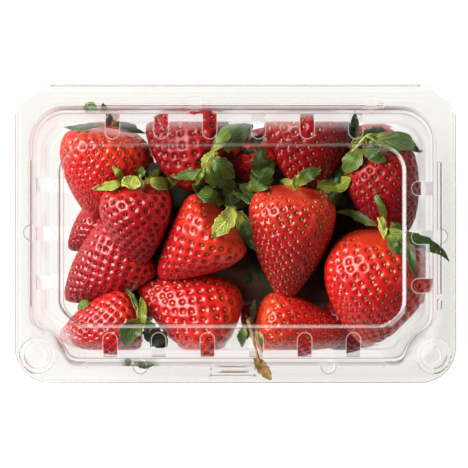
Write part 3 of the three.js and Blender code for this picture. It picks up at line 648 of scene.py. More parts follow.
def path_leaf(path, width, blunt, seed):
    """A leaf along given points in space, flat across and slightly folded."""
    s, c, grid = leaf_grid((0, 0), (1, 0), width, 0.0, blunt, np.random.default_rng(seed))
    half = np.abs(grid[:, [0, -1], 1])
    middle = along_path(path, s, 2)
    slope = np.gradient(middle, axis=0)
    across = unit(np.column_stack([-slope[:, 1], slope[:, 0], np.zeros(len(s))]))
    reach = np.where(c[None, :] < 0, half[:, :1], half[:, 1:]) * c[None, :]
    sheet = middle[:, None, :] + reach[..., None] * across[:, None, :]
    free = smoothstep(55.6, 58.0, middle[:, 2])[:, None]
    sheet[..., 2] += 0.12 * width * np.abs(c)[None, :] * free
    return *sheet_solid(sheet), leaf_masks(s, c)


def tube(path, first, last, sides=8):
    """A closed round stem along a path, with a radius for each end."""
    path = along_path(path, np.linspace(0, 1, 4 * (len(path) - 1) + 1), 3)
    tangent = unit(np.gradient(path, axis=0))
    guide = (0.3, 0.2, 1.0) if abs(tangent[0, 2]) < 0.9 else (1.0, 0.2, 0.0)
    over = unit(np.cross(tangent, guide))
    turn = 2 * math.pi * np.arange(sides)[None, :, None] / sides
    ring = np.cos(turn) * over[:, None] + np.sin(turn) * np.cross(tangent, over)[:, None]
    rings = path[:, None] + np.linspace(first, last, len(path))[:, None, None] * ring
    return np.vstack([rings.reshape(-1, 3), path[:1], path[-1:]]), ring_faces(len(path), sides)


def leaf_material():
    """Green sheet: pale midrib and side veins, a paler rim that is partly a painted highlight, a paler root, and
    brightness from each leaf's own mask, partly painted shade.
    """
    look = Look("strawberry_leaf")
    shade, along, side = look.mask("shade"), look.mask("along"), look.math("ABSOLUTE", look.mask("side"))
    ramp = look.add("ValToRGB", {"Fac": shade})
    elements = ramp.node.color_ramp.elements
    while len(elements) < len(LEAF_GREENS):
        elements.new(0.5)
    for element, (place, colour) in zip(elements, LEAF_GREENS):
        element.position, element.color = place, (*colour, 1)
    darker = look.add("HueSaturation", {"Value": 0.62, "Color": ramp})
    mottled = look.mix(look.noise(500, 4, 0.6, 0.3, 0.7), ramp, darker)
    slant = look.math("MULTIPLY_ADD", side, -0.35, along)
    vein = look.ramp(look.math("SINE", look.math("MULTIPLY", slant, 44.0)), 0.7, 1.0)
    lines = look.math("MAXIMUM", vein, look.ramp(side, 0.1, 0.0))
    # Paler rim: partly the leaf's own pale edge, partly a painted highlight along it.
    lines = look.math("MAXIMUM", lines, look.ramp(side, 0.86, 1.0))
    paler = look.add("HueSaturation", {"Value": 2.6, "Saturation": 0.9, "Color": ramp})
    colour = look.mix(look.math("MULTIPLY", lines, 0.6), mottled, paler)
    root = look.math("MULTIPLY", look.ramp(shade, 0.12, 0.5, 0.0, 0.55), look.ramp(along, 0.3, 0.0))
    height = look.math("MULTIPLY_ADD", look.noise(1800, 4), -0.6, lines)
    return look.finish({"Base Color": look.mix(root, colour, LEAF_ROOT), "Roughness": look.varied(1200, 0.3, 0.5),
                        "Normal": look.bump(height, 0.6, 0.0005)})


def stalk_material(name, pale, dark):
    look = Look(name)
    streaks = look.noise(420)
    return look.finish({"Base Color": look.mix(look.ramp(streaks, 0.35, 0.65), dark, pale),
                        "Roughness": look.ramp(streaks, 0.0, 1.0, 0.35, 0.6), "Normal": look.bump(streaks, 0.3)})


def make_leaves(material):
    leaves, deep, stalks, dry = Joined(), Joined(), Joined(), Joined()
    for k, (x0, y0, x1, y1, width, bend, lift, shade, blunt) in enumerate(SEPALS):
        points, faces, masks = leaf_mesh((x0, y0), (x1, y1), width, bend, lift, blunt, 500 + k)
        leaves.add(points, faces, shade=shade, **masks)
    for k, (path, width, shade, blunt) in enumerate(CAUGHT_SEPALS):
        points, faces, masks = path_leaf(path, width, blunt, 560 + k)
        leaves.add(points, faces, shade=shade, **masks)
    for k, (x0, y0, x1, y1, width, bend, level, shade, blunt) in enumerate(DEEP_LEAVES):
        points, faces, masks = leaf_mesh((x0, y0), (x1, y1), width, bend, 1.5, blunt, 600 + k, level)
        deep.add(points, faces, shade=shade, **masks)
    for path, first, last in STALKS:
        stalks.add(*tube(path, STALK_WIDTH * first, STALK_WIDTH * last))
    dry.add(*tube(DRY_STALK, 0.9, 0.5))
    dry.add(*path_leaf(DRY_LEAF, 5.2, 0.6, 590)[:2])
    return [
        leaves.piece("calyx_leaves", material),
        deep.piece("leaves_in_gaps", material),
        stalks.piece("calyx_stalks", stalk_material("pale_stalk", (0.42, 0.43, 0.09), (0.22, 0.27, 0.04))),
        dry.piece("dry_stalk", stalk_material("dry_stalk", (0.34, 0.20, 0.06), (0.12, 0.075, 0.025))),
    ]


def make_core():
    """The plain core in the hidden middle of the heap, kept near black as painted shade for the shadowed fruit and
    leaves there.
    """
    sides = 96
    turn = 2 * math.pi * np.arange(sides) / sides
    square = (np.abs(np.cos(turn)) ** 5 + np.abs(np.sin(turn)) ** 5) ** (-1 / 5)
    rings = []
    for z, half_x, half_y in ((8.3, 53, 29), (22.0, 56, 32), (34.0, 52, 28)):
        out = square * (1 + 0.03 * np.sin(7 * turn + z) + 0.02 * np.sin(13 * turn))
        rings.append(np.column_stack([CENTRE[0] + half_x * out * np.cos(turn), CENTRE[1] + half_y * out * np.sin(turn),
                                      z + 0.8 * np.sin(9 * turn)]))
    points = np.vstack([*rings, [[*CENTRE, 8.0], [*CENTRE, 35.0]]])
    look = Look("shaded_heart")
    mottle = look.mix(look.noise(60, 4, 0.6, 0.35, 0.65), (0.03, 0.032, 0.014), (0.12, 0.05, 0.026))
    material = look.finish({"Base Color": mottle, "Roughness": look.varied(300, 0.5, 0.8)})
    return add_piece("heap_heart", points, ring_faces(len(rings), sides), material, "tray_body")


# ---- Clear film: both shells are sheets over a height z(x, y), triangulated inside their outline ----
# Half x, half y, corner radius and z of the rings round the pack's middle, from the outside in.
DOME_RINGS = (
    (92.0, 61.0, 16.0, 56.0),
    (84.2, 52.8, 13.2, 56.0),
    (83.1, 51.6, 13.0, 57.4),
    (81.5, 48.2, 13.0, 66.8),
    (78.6, 44.6, 12.5, 72.4),
    (72.8, 38.7, 11.8, 77.27),
    (71.0, 36.9, 10.0, 78.0),
    (66.0, 32.0, 7.0, 78.0),
)
DOME_FOOT = (84.4, 53.2, 13.4, 56.0)
DOME_EDGE = (84.9, 53.5, 13.5)  # inside it the film counts as the dome's wall
TUB_RINGS = (
    (92.0, 61.0, 18.0, 54.9),
    (85.4, 54.3, 15.2, 54.9),
    (78.8, 47.8, 13.0, 4.0),
    (75.5, 44.5, 11.0, 0.5),
    (64.9, 33.9, 9.9, 0.5),
    (63.3, 32.3, 9.4, 2.5),
    (50.0, 20.0, 6.0, 2.5),
)
# How far each bend of the two profiles is rounded off.
DOME_BENDS = (0.5, 0.7, 1.8, 2.0, 0.3, 0.3)
TUB_BENDS = (0.8, 2.5, 2.0, 0.8, 0.8)
LID_TOP = 56.0
BUMP_HEIGHT = 0.8
HINGE_Y, HINGE_HALF = 62.95, 78.0
RIB_LINES = (-0.3, -0.1, 0.1, 0.3)  # across the slope of a rib's side
# Flange ribs: both ends, width and height.
LID_RIBS = (
    ((-86.7, -30.5), (-86.7, 31.0), 1.0, 0.7),
    ((85.8, -25.0), (85.8, 30.0), 1.8, 0.7),
    ((85.9, -31.6), (85.9, -28.4), 2.2, 0.9),
    *(((-reach, y), (reach, y), width, height) for reach, y, width, height in (
        (62, -55.1, 3.0, 0.6), (62, 54.6, 1.6, 0.8), (78, 56.7, 0.8, 0.5), (78, 58.7, 0.8, 0.5), (78, 60.7, 0.8, 0.5))),
    *(((-8.3, y), (6.1, y), width, height) for y, width, height in (
        (-57.8, 5.0, 1.0), (-59.0, 0.8, 1.5), (-56.6, 0.8, 1.5))),
)
BUMPS = ((-86.2, 0.6), (86.3, -0.9), (-40, -55.8), (39.3, -55.8), (-17, 55.2), (57, 55.2))
BUMP_RADIUS = 3.2
BUMP_LINES = np.array([-1.1, -0.7, -0.3, -0.1, 0.1, 0.4])  # across the slope of a bump's side
# The snap buttons: each is a cup with a stud in it and a ring round it, over a socket in the tray.
CUP_FOOT, CUP_MOUTH, CUP_FLOOR = 4.5, 5.7, 52.8
STUD_RADIUS, STUD_HEIGHT = 3.2, 0.35
CUP_RING, CUP_RING_HALF, CUP_RING_HEIGHT = 6.6, 1.2, 0.7
SCOOP_BLEND = 6.0
SOCKET_FOOT, SOCKET_FLOOR = 6.1, 51.6
RIM_TURN, RIM_TURN_WIDTH = 2.1, 1.2  # how far the tray's edge turns down
# How milky and bright the film is, 0 to 1: some real haze, mostly painted reflection that glows. Rows of four, here and
# below, are for the right, front, back and left.
BACK_HAZE_GLARE, FRONT_HAZE_GLARE, SIDE_HAZE_GLARE, SHOULDER_HAZE_GLARE, BEND_GLARE, RIM_GLARE = 0.78, 0.8, 0.4, 0.1, 0.75, 0.6
VENT_GLARE = 0.36
SCRAPS_X = -40.5  # the rim is clearer over the scraps of leaf caught there
# Painted highlight in a band round the lid's plateau, strongest on the right; its widths; then the painted highlight on
# the flange just outside the dome.
PLATEAU_GLARE_STRENGTH = (0.4, 0.2, 0.07, 0.12)
PLATEAU_WIDTH = (1.75, 1.2, 0.5, 0.5)
RIM_BAND_GLARE = (0.45, 0.1, 0.25, 0.1)
# Painted dark lines standing in for the refraction at the film's bends and ribs: rings and their strengths, then
# straight lines.
BEND_LINE_RINGS = (
    (DOME_RINGS[5], (0.35, 0.45, 0.5, 0.9)),
    (DOME_RINGS[6], (0.4, 0.35, 0.3, 0.3)),
    (DOME_RINGS[2], (0.2, 0.65, 0.6, 0.1)),
    (DOME_FOOT, (0.35, 0.4, 0.5, 0.12)),
)
BEND_LINES = (
    ((86.7, -25.0), (86.7, 30.0), 0.95),
    ((86.9, -31.6), (86.9, -28.4), 0.8),
    ((-86.2, -30.5), (-86.2, 31.0), 0.85),
    ((-7.5, -55.9), (5.1, -55.9), 0.85),
    ((-7.5, -58.3), (5.1, -58.3), 0.7),
    ((-10.4, -59.7), (8.2, -59.7), 0.7),
)
BEND_LINE_TINT = (0.36, 0.24, 0.2)
# The painted dark lines stand in for refraction at the bends, not for a dark mark in the film.
BEND_LINE_WIDTH = (0.28, 0.08)  # half widths where a crease begins and where it is darkest


def rounded(x, y, half_x, half_y, radius):
    """Signed distance to a rounded rectangle round the pack's middle, negative inside."""
    over_x = np.abs(x - CENTRE[0]) - (half_x - radius)
    over_y = np.abs(y - CENTRE[1]) - (half_y - radius)
    outside = np.hypot(np.maximum(over_x, 0), np.maximum(over_y, 0))
    return outside + np.minimum(np.maximum(over_x, over_y), 0) - radius


def smooth_rings(corners, bends, straight=1.6):
    """The rings of a profile whose corners are rounded off, close together round the bends."""
    corners = np.array(corners, float)
    path = [corners[0]]
    for before, corner, after, reach in zip(corners, corners[1:], corners[2:], bends):
        arms = [corner + (end - corner) * min(0.48, reach / np.linalg.norm((end - corner)[[1, 3]]))
                for end in (before, after)]
        for u in np.linspace(0, 1, 6):
            path.append((1 - u) ** 2 * arms[0] + 2 * u * (1 - u) * corner + u**2 * arms[1])
    path.append(corners[-1])
    rings = [path[0]]
    for end in path[1:]:
        steps = max(1, math.ceil(np.linalg.norm((end - rings[-1])[[1, 3]]) / straight))
        start = rings[-1]
        rings += [start + (end - start) * k / steps for k in range(1, steps + 1)]
    return np.array(rings)


def ring_distance(ring, x, y, spread, clearance):
    """Signed distance to a ring that is bitten off softly round the snap buttons."""
    distance = rounded(x, y, *ring[:3])
    radius = SCOOP_RADIUS + clearance + spread * (ring[3] - TRAY_TOP)
    for bx, by in BUTTONS:
        distance = soft_max(distance, radius - np.hypot(x - bx, y - by), SCOOP_BLEND)
    return distance


def ring_height(rings, x, y, spread, clearance):
    """Height at (x, y), interpolated between the two rings it lies between."""
    distance = np.stack([ring_distance(ring, x, y, spread, clearance) for ring in rings])
    inner = np.clip((distance <= 0).sum(0), 1, len(rings) - 1)
    columns = np.arange(distance.shape[1])
    before, after = distance[inner - 1, columns], distance[inner, columns]
    share = np.clip(-before / np.maximum(after - before, 1e-6), -3, 1)
    return rings[inner - 1, 3] * (1 - share) + rings[inner, 3] * share


def soft_min(a, b, reach):
    h = np.clip(0.5 + 0.5 * (b - a) / reach, 0, 1)
    return b * (1 - h) + a * h - reach * h * (1 - h)


def soft_max(a, b, reach):
    return -soft_min(-a, -b, reach)


def bar_distance(x, y, start, end, width):
    span = np.array(end, float) - start
    u = np.clip(((x - start[0]) * span[0] + (y - start[1]) * span[1]) / (span @ span), 0, 1)
    return np.hypot(x - start[0] - u * span[0], y - start[1] - u * span[1]) - width / 2


BUTTONS = ((-BUTTON_X, BUTTON_Y), (BUTTON_X, BUTTON_Y))
LID_PROFILE = smooth_rings(DOME_RINGS, DOME_BENDS)
TUB_PROFILE = smooth_rings(TUB_RINGS, TUB_BENDS, 4.0)
# How fast the bites round the buttons widen with height, and how far they keep off.
LID_SCOOP, TUB_SCOOP = (0.37, 0.0), (-0.06, 0.3)


def lid_height(x, y):
    z = ring_height(LID_PROFILE, x, y, *LID_SCOOP)
    ribs = np.zeros_like(z)
    for start, end, width, height in LID_RIBS:
        slope = smoothstep(RIB_LINES[-1], RIB_LINES[0], bar_distance(x, y, start, end, width))
        ribs = np.maximum(ribs, height * slope)
    for bx, by in BUMPS:
        reach = np.hypot(x - bx, y - by)
        slope = smoothstep(BUMP_RADIUS + BUMP_LINES[-1], BUMP_RADIUS + BUMP_LINES[0], reach)
        ribs = np.maximum(ribs, BUMP_HEIGHT * slope)
    z = z + ribs
    for bx, by in BUTTONS:
        reach = np.hypot(x - bx, y - by)
        z = z + CUP_RING_HEIGHT * smoothstep(CUP_RING_HALF, 0.0, np.abs(reach - CUP_RING))
        cup = CUP_FLOOR + (reach - CUP_FOOT) * (LID_TOP + 0.4 - CUP_FLOOR) / (CUP_MOUTH - CUP_FOOT)
        z = soft_min(z, soft_max(cup, CUP_FLOOR, 0.8), 0.8)
        z = z + STUD_HEIGHT * smoothstep(STUD_RADIUS + 0.5, STUD_RADIUS - 0.5, reach)
    return z


def tray_height(x, y):
    z = ring_height(TUB_PROFILE, x, y, *TUB_SCOOP)
    for bx, by in BUTTONS:
        reach = np.hypot(x - bx, y - by)
        z = soft_min(z, soft_max(SOCKET_FLOOR + (reach - SOCKET_FOOT) / 0.4, SOCKET_FLOOR, 0.6), 0.5)
    edge = np.where(inside(OUTLINE, x, y), 1, -1) * loop_distance(OUTLINE, x, y)
    return z - RIM_TURN * smoothstep(RIM_TURN_WIDTH, 0.1, edge) * smoothstep(52.5, 50.0, y)


def arc(cx, cy, radius, start, end, steps):
    turn = np.linspace(start, end, steps + 1)
    return [(cx + radius * math.cos(a), cy + radius * math.sin(a)) for a in turn]


def bend(start, control, end, steps):
    u = np.linspace(0, 1, steps + 1)[:, None]
    path = (1 - u) ** 2 * np.array(start) + 2 * u * (1 - u) * np.array(control) + u**2 * np.array(end)
    return [tuple(point) for point in path[1:]]


def flange_outline():
    """The outer edge, anticlockwise from the front left."""
    front, back = FLANGE_FRONT + FRONT_CORNER, FLANGE_BACK - BACK_CORNER
    right = arc(FLANGE_X - FRONT_CORNER, front, FRONT_CORNER, -QUARTER, 0, 18)
    right += arc(FLANGE_X - BACK_CORNER, back, BACK_CORNER, 0, math.radians(62), 9)
    right += bend(right[-1], (STRIP_X + 1, STRIP_BACK - 4.4), (STRIP_X, STRIP_BACK - 2.8), 5)
    right += bend(right[-1], (STRIP_X - 0.4, STRIP_BACK), (STRIP_X - 3.5, STRIP_BACK), 5)
    corners = right + [(-px, py) for px, py in reversed(right)]
    loop = []
    for (ax, ay), (bx, by) in zip(corners, corners[1:] + corners[:1]):
        steps = max(1, round(math.hypot(bx - ax, by - ay) / 3))
        loop += [(ax + (bx - ax) * k / steps, ay + (by - ay) * k / steps) for k in range(steps)]
    return np.array(loop)


OUTLINE = flange_outline()


def inside(loop, x, y):
    """Which points lie inside a closed loop."""
    hit = np.zeros(len(x), bool)
    for (ax, ay), (bx, by) in zip(loop, np.roll(loop, -1, axis=0)):
        if ay != by:
            hit ^= ((ay > y) != (by > y)) & (x < ax + (bx - ax) * (y - ay) / (by - ay))
    return hit


def loop_distance(loop, x, y):
    nearest = np.full(len(x), 1e9)
    for start, end in zip(loop, np.roll(loop, -1, axis=0)):
        nearest = np.minimum(nearest, bar_distance(x, y, start, end, 0))
    return nearest


def slot_loop(turn, along, outer, inner):
    """A slot across the side at that many quarter turns: square outside, round inside."""
    half = VENT_WIDTH / 2
    edge = np.linspace(outer, inner + half, round((outer - inner - half) / 0.7) + 1)[:-1]
    path = [(u, half) for u in edge] + arc(inner + half, 0, half, QUARTER, 3 * QUARTER, 12)
    path += [(u, -half) for u in edge[::-1]] + [(outer, v) for v in np.linspace(-half, half, 6)[1:-1]]
    cos, sin = math.cos(turn * QUARTER), math.sin(turn * QUARTER)
    return np.array(path) @ np.array([[cos, sin], [-sin, cos]]) + ((along, 0) if turn % 2 else (0, along))


def slot_loops(outers=None, reach=None):
    loops = []
    for side, count, middle, outer, inner in VENT_ROWS:
        if outers:
            outer, inner = outers[side], outers[side] - reach
        turn = ("right", "back", "left", "front").index(side)
        loops += [slot_loop(turn, middle + (k - (count - 1) / 2) * VENT_PITCH, outer, inner) for k in range(count)]
    return loops


def ring_loops(rings, spread, clearance):
    """Closed sample lines along the rings, anticlockwise."""
    loops = []
    straight_x, straight_y = np.linspace(-1, 1, 57)[1:-1], np.linspace(-1, 1, 33)[1:-1]
    for ring in rings:
        half_x, half_y, radius, _ = ring
        flat_x, flat_y = half_x - radius, half_y - radius
        points = []
        for turn, (right, back) in enumerate(((1, 1), (-1, 1), (-1, -1), (1, -1))):
            points += arc(right * flat_x, back * flat_y, radius, turn * QUARTER, (turn + 1) * QUARTER, 13)
            if right == back:
                points += [(-back * u * flat_x, back * half_y) for u in straight_x]
            else:
                points += [(right * half_x, right * u * flat_y) for u in straight_y]
        x, y = (np.array(points) + CENTRE).T
        for _ in range(6):
            here, by_x, by_y = (ring_distance(ring, x + i, y + j, spread, clearance)
                                for i, j in ((0, 0), (0.01, 0), (0, 0.01)))
            slope_x, slope_y = (by_x - here) / 0.01, (by_y - here) / 0.01
            steep = np.maximum(slope_x**2 + slope_y**2, 0.2)
            x, y = x - here * slope_x / steep, y - here * slope_y / steep
        loops.append(np.column_stack([x, y]))
    return loops


def circle_loops(centres, radii, spacing=0.8):
    return [np.array(arc(*centre, radius, 0, 2 * math.pi, max(8, round(2 * math.pi * radius / spacing)))[:-1])
            for centre in centres for radius in radii]


def bar_loops(start, end, width):
    """Closed lines round a bar with round ends, across the slope of its side."""
    start, end = np.array(start, float), np.array(end, float)
    heading = math.atan2(*(end - start)[::-1])
    steps, loops = max(1, round(np.linalg.norm(end - start) / 3)), []
    for half in (width / 2 + offset for offset in RIB_LINES if width / 2 + offset > 0.05):
        points = []
        for here, there, turn in ((end, start, heading - QUARTER), (start, end, heading + QUARTER)):
            points += arc(*here, half, turn, turn + 2 * QUARTER, 8)
            aside = half * np.array([math.cos(turn), math.sin(turn)])
            points += [tuple(here + (there - here) * k / steps - aside) for k in range(1, steps)]
        loops.append(np.array(points))
    return loops


def fill_points(loops, spacing, clear):
    """Even points in the open areas, at least a given way off every sample line."""
    taken = {(int(px // clear), int(py // clear)) for loop in loops for px, py in loop.tolist()}
    points = []
    for row, py in enumerate(np.arange(FLANGE_FRONT, STRIP_BACK, spacing)):
        for px in np.arange(-FLANGE_X, FLANGE_X, spacing) + (spacing / 2 if row % 2 else 0):
            cell_x, cell_y = int(px // clear), int(py // clear)
            if not any((cell_x + i, cell_y + j) in taken for i in (-1, 0, 1) for j in (-1, 0, 1)):
                points.append((px, py))
    points = np.array(points)
    return points[inside(OUTLINE, *points.T)]


def offset_loop(loop, inset):
    """The loop moved inwards, sampled at its own corners."""
    heading = unit(np.roll(loop, -1, axis=0) - np.roll(loop, 1, axis=0))
    return loop + inset * np.column_stack([-heading[:, 1], heading[:, 0]])


def by_side(x, y, ring, strengths):
    """A strength for each side of a rounded rectangle, blended round its corners."""
    half_x, half_y, radius, _ = ring
    right, front, back, left = strengths
    over_x = np.maximum(np.abs(x - CENTRE[0]) - (half_x - radius), 0) ** 2
    over_y = np.maximum(np.abs(y - CENTRE[1]) - (half_y - radius), 0) ** 2
    across = over_x / np.maximum(over_x + over_y, 1e-9)
    return across * np.where(x > CENTRE[0], right, left) + (1 - across) * np.where(y > CENTRE[1], back, front)


def painted_bend_lines(x, y):
    """How dark the painted lines are that stand in for refraction: thin lines along the lid's bends, ribs, tab and
    outer bumps.
    """
    dark = np.zeros_like(x)

    def draw(reach, strength):
        np.maximum(dark, smoothstep(*BEND_LINE_WIDTH, np.abs(reach)) * strength, out=dark)

    for ring, strengths in BEND_LINE_RINGS:
        draw(ring_distance(ring, x, y, *LID_SCOOP), by_side(x, y, ring, strengths))
    for start, end, strength in BEND_LINES:
        draw(bar_distance(x, y, start, end, 0), strength)
    for bx, by in BUMPS[:4]:
        # On the outer bumps the painted dark line lies only on their outward side.
        outward = (x - bx) * np.sign(bx) if abs(bx) > 60 else by - y
        draw(np.hypot(x - bx, y - by) - BUMP_RADIUS, 0.35 * smoothstep(-0.4, 0.6, outward))
    return dark


def plateau_glare(x, y):
    """How bright the painted highlight is in the band round the lid's plateau."""
    ring = DOME_RINGS[5]
    width = by_side(x, y, ring, PLATEAU_WIDTH)
    return band(-rounded(x, y, *ring[:3]), -0.12, 0.12, width - 0.12, width + 0.12) * by_side(x, y, ring, PLATEAU_GLARE_STRENGTH)


def rim_glare_band(x, y):
    """How bright the painted highlight is on the lid's flange just outside the dome."""
    reach = ring_distance(DOME_FOOT, x, y, *LID_SCOOP)
    return band(reach, -0.1, 0.25, 0.9, 1.6) * by_side(x, y, DOME_FOOT, RIM_BAND_GLARE)


def film_haze_and_glare(x, y, z):
    """How milky and bright the film is: first its steep wall, partly real haze and partly painted reflection, then
    painted highlights along its bends and rims.
    """
    over, behind = x - CENTRE[0], y - CENTRE[1]
    along = smoothstep(78.0, 68.0, np.abs(over))
    button = np.hypot(np.abs(x) - BUTTON_X, y - BUTTON_Y)
    dome = smoothstep(0.3, -0.3, rounded(x, y, *DOME_EDGE)) * smoothstep(55.8, 56.1, z)
    wall = dome * band(z, 56.9, 57.7, 66.4, 67.2)
    milky = np.maximum(np.where(behind > 0, BACK_HAZE_GLARE, FRONT_HAZE_GLARE) * along, SIDE_HAZE_GLARE)
    milky = milky * (0.45 + 0.55 * smoothstep(18.0, 24.0, button))
    shoulder = band(z, 66.4, 67.2, 69.4, 70.4) * smoothstep(30.0, 40.0, behind)
    base = dome * band(z, 55.9, 56.2, 57.3, 57.9)
    rim = band(z, 50.0, 52.0, 54.95, 55.05) * smoothstep(1.2, 0.7, rounded(x, y, *TUB_RINGS[1][:3]))
    # The painted highlights on bends and rims are brighter on the right, left and front.
    right, left = smoothstep(60.0, 76.0, over), 0.6 * smoothstep(-60.0, -76.0, over)
    front = smoothstep(-30.0, -45.0, behind) * smoothstep(-80.0, -60.0, over)
    near = 0.5 + 0.5 * np.maximum(np.maximum(right, left), front)
    scraps = smoothstep(9.0, 6.0, np.abs(x - SCRAPS_X)) * (behind < 0)
    near = near * (1 - 0.85 * scraps)
    wall_haze_and_glare = np.maximum(wall * milky, SHOULDER_HAZE_GLARE * shoulder * along)
    return wall_haze_and_glare, np.maximum(BEND_GLARE * base, RIM_GLARE * rim) * near


def film_shell(name, height, holes, lines, materials, body):
    """A closed sheet of film: upper face at height(x, y), lower face one film thickness beneath."""
    points, edges, loops = [], [], [OUTLINE, *holes, *lines]
    for loop in loops:
        first = len(points)
        points += [Vector(point) for point in loop]
        edges += [(first + k, first + (k + 1) % len(loop)) for k in range(len(loop))]
    points += [Vector(point) for point in fill_points(loops, 3.5, 1.5)]
    flat, _, faces, _, _, _ = delaunay_2d_cdt(points, edges, [], 0, 0.01, False)
    flat, faces = np.array([tuple(point) for point in flat]), np.array([tuple(face) for face in faces])
    middle = flat[faces].mean(1)
    keep = inside(OUTLINE, *middle.T)
    for loop in holes:
        near = np.flatnonzero((np.abs(middle - loop.mean(0)) < 16).all(1))
        keep[near] &= ~inside(loop, *middle[near].T)
    used, faces = np.unique(faces[keep], return_inverse=True)
    flat, faces = flat[used], faces.reshape(-1, 3)
    area = np.cross(flat[faces[:, 1]] - flat[faces[:, 0]], flat[faces[:, 2]] - flat[faces[:, 0]])
    faces = np.where(area[:, None] < 0, faces[:, ::-1], faces)
    x, y = flat.T
    z = height(x, y)

    def sheet_normal(step):
        slope_x = (height(x + step, y) - height(x - step, y)) / (2 * step)
        slope_y = (height(x, y + step) - height(x, y - step)) / (2 * step)
        return unit(np.stack([-slope_x, -slope_y, np.ones_like(z)], axis=1))

    normal, count = sheet_normal(0.03), len(flat)
    upper = np.column_stack([flat, z])
    corners = np.vstack([upper, upper - sheet_normal(0.8) * FILM])
    sides = {tuple(side) for pair in ([0, 1], [1, 2], [2, 0]) for side in faces[:, pair].tolist()}
    walls = [(b, a, count + a, count + b) for a, b in sorted(sides) if (b, a) not in sides]
    all_faces = faces.tolist() + (faces[:, ::-1] + count).tolist() + walls
    wall_haze_and_glare, haze_and_glare = film_haze_and_glare(*corners.T)
    bend_line_shade = np.zeros(len(corners))
    if body == "lid_body":
        # Painted highlights in the band round the plateau and on the flange just outside the dome.
        haze_and_glare = np.maximum(haze_and_glare, np.tile(np.maximum(plateau_glare(x, y), rim_glare_band(x, y)), 2))
        bend_line_shade = np.tile(painted_bend_lines(x, y), 2)
        # Painted highlight round the edge of each vent.
        for loop in holes:
            near = np.flatnonzero((np.abs(corners[:, :2] - loop.mean(0)) < np.ptp(loop, axis=0) / 2 + 0.6).all(1))
            edge = VENT_GLARE * smoothstep(0.42, 0.1, loop_distance(loop, *corners[near, :2].T))
            haze_and_glare[near] = np.maximum(haze_and_glare[near], edge)
    piece = add_piece(name, corners, all_faces, materials[0], body,
                      {"haze_and_glare": haze_and_glare, "wall_haze_and_glare": wall_haze_and_glare, "bend_line_shade": bend_line_shade})
    mesh, broad = piece.data, 2 * len(faces)
    mesh.materials.append(materials[1])
    mesh.polygons.foreach_set("material_index", (np.arange(len(all_faces)) >= broad).astype(np.int32))
    # The broad faces shade by the sheet's own slope, and the cut edges are flat.
    straight = np.zeros(3 * len(all_faces), np.float32)
    mesh.polygons.foreach_get("normal", straight)
    split = np.vstack([normal, -normal])[np.concatenate(all_faces)]
    split[3 * broad:] = np.repeat(straight.reshape(-1, 3)[broad:], 4, axis=0)
    mesh.normals_split_custom_set(split.tolist())
    return piece


def make_film(materials):
    cups = circle_loops(BUTTONS, np.arange(2.6, 8.2, 0.4))
    bumps = circle_loops(BUMPS, BUMP_RADIUS + BUMP_LINES)
    ribs = [loop for start, end, width, _ in LID_RIBS for loop in bar_loops(start, end, width)]
    edges = [offset_loop(OUTLINE, share * RIM_TURN_WIDTH) for share in (0.25, 0.5, 0.75, 1.0)]
    dome, tub = ring_loops(LID_PROFILE[1:-1], *LID_SCOOP), ring_loops(TUB_PROFILE[1:-1], *TUB_SCOOP)
    vents, drains = slot_loops(), slot_loops(DRAINS, DRAIN_LENGTH)
    lips = [offset_loop(loop, -0.5) for loop in vents]
    return [
        film_shell("lid_film", lid_height, vents, [*cups, *bumps, *ribs, *lips, *dome], materials, "lid_body"),
        film_shell("tray_film", tray_height, drains, [*cups, *tub, *edges], materials, "tray_body"),
    ]


def film_material(name, cut_edge=0.0):
    """Clear thermoformed film: refracts and lets lamps through, and glows milky where painted reflection is asked for.
    A cut edge scatters some light.
    """
    look = Look(name)
    look.tree.nodes.remove(look.tree.nodes["Principled BSDF"])
    clear = look.add("BsdfGlass", {
        "Color": (0.99, 0.988, 0.98), "IOR": 1.48, "Roughness": look.varied(120, 0.0, 0.035, 2),
        "Normal": look.bump(look.noise(140, 2), 0.02, 0.0005)})
    # The milky layer glows of its own: painted reflection of the bright surroundings, with some real haze.
    milk, glow = {"Color": (0.2, 0.2, 0.197)}, {"Color": (1, 0.985, 0.97), "Strength": 0.78}
    milky = look.add("AddShader", {0: look.add("BsdfTranslucent", milk), 1: look.add("BsdfDiffuse", milk)})
    cloudy = look.add("AddShader", {0: milky, 1: look.add("Emission", glow)})
    grazing = look.ramp(look.add("LayerWeight", {"Blend": 0.5}, "Facing"), 0.15, 0.45)
    haze_and_glare = look.math("MAXIMUM", look.mask("haze_and_glare"), look.math("MULTIPLY", look.mask("wall_haze_and_glare"), grazing))
    surface = look.blend(haze_and_glare, clear, cloudy)
    # Painted shade: along the bend lines the film lets through only a dark brownish tint.
    surface = look.blend(look.mask("bend_line_shade"), surface, look.add("BsdfTransparent", {"Color": BEND_LINE_TINT}))
    if cut_edge:
        surface = look.blend(cut_edge, surface, look.add("BsdfTranslucent", {"Color": (0.9, 0.89, 0.87)}))
    bounced = look.math("MAXIMUM", look.ray("Glossy Depth"), look.ray("Is Diffuse Ray"))
    through = look.math("MAXIMUM", look.ray("Is Shadow Ray"), bounced, use_clamp=True)
    surface = look.blend(through, surface, look.add("BsdfTransparent", {"Color": (0.97, 0.965, 0.96)}))
    return look.finish({"Surface": surface}, "Material Output")


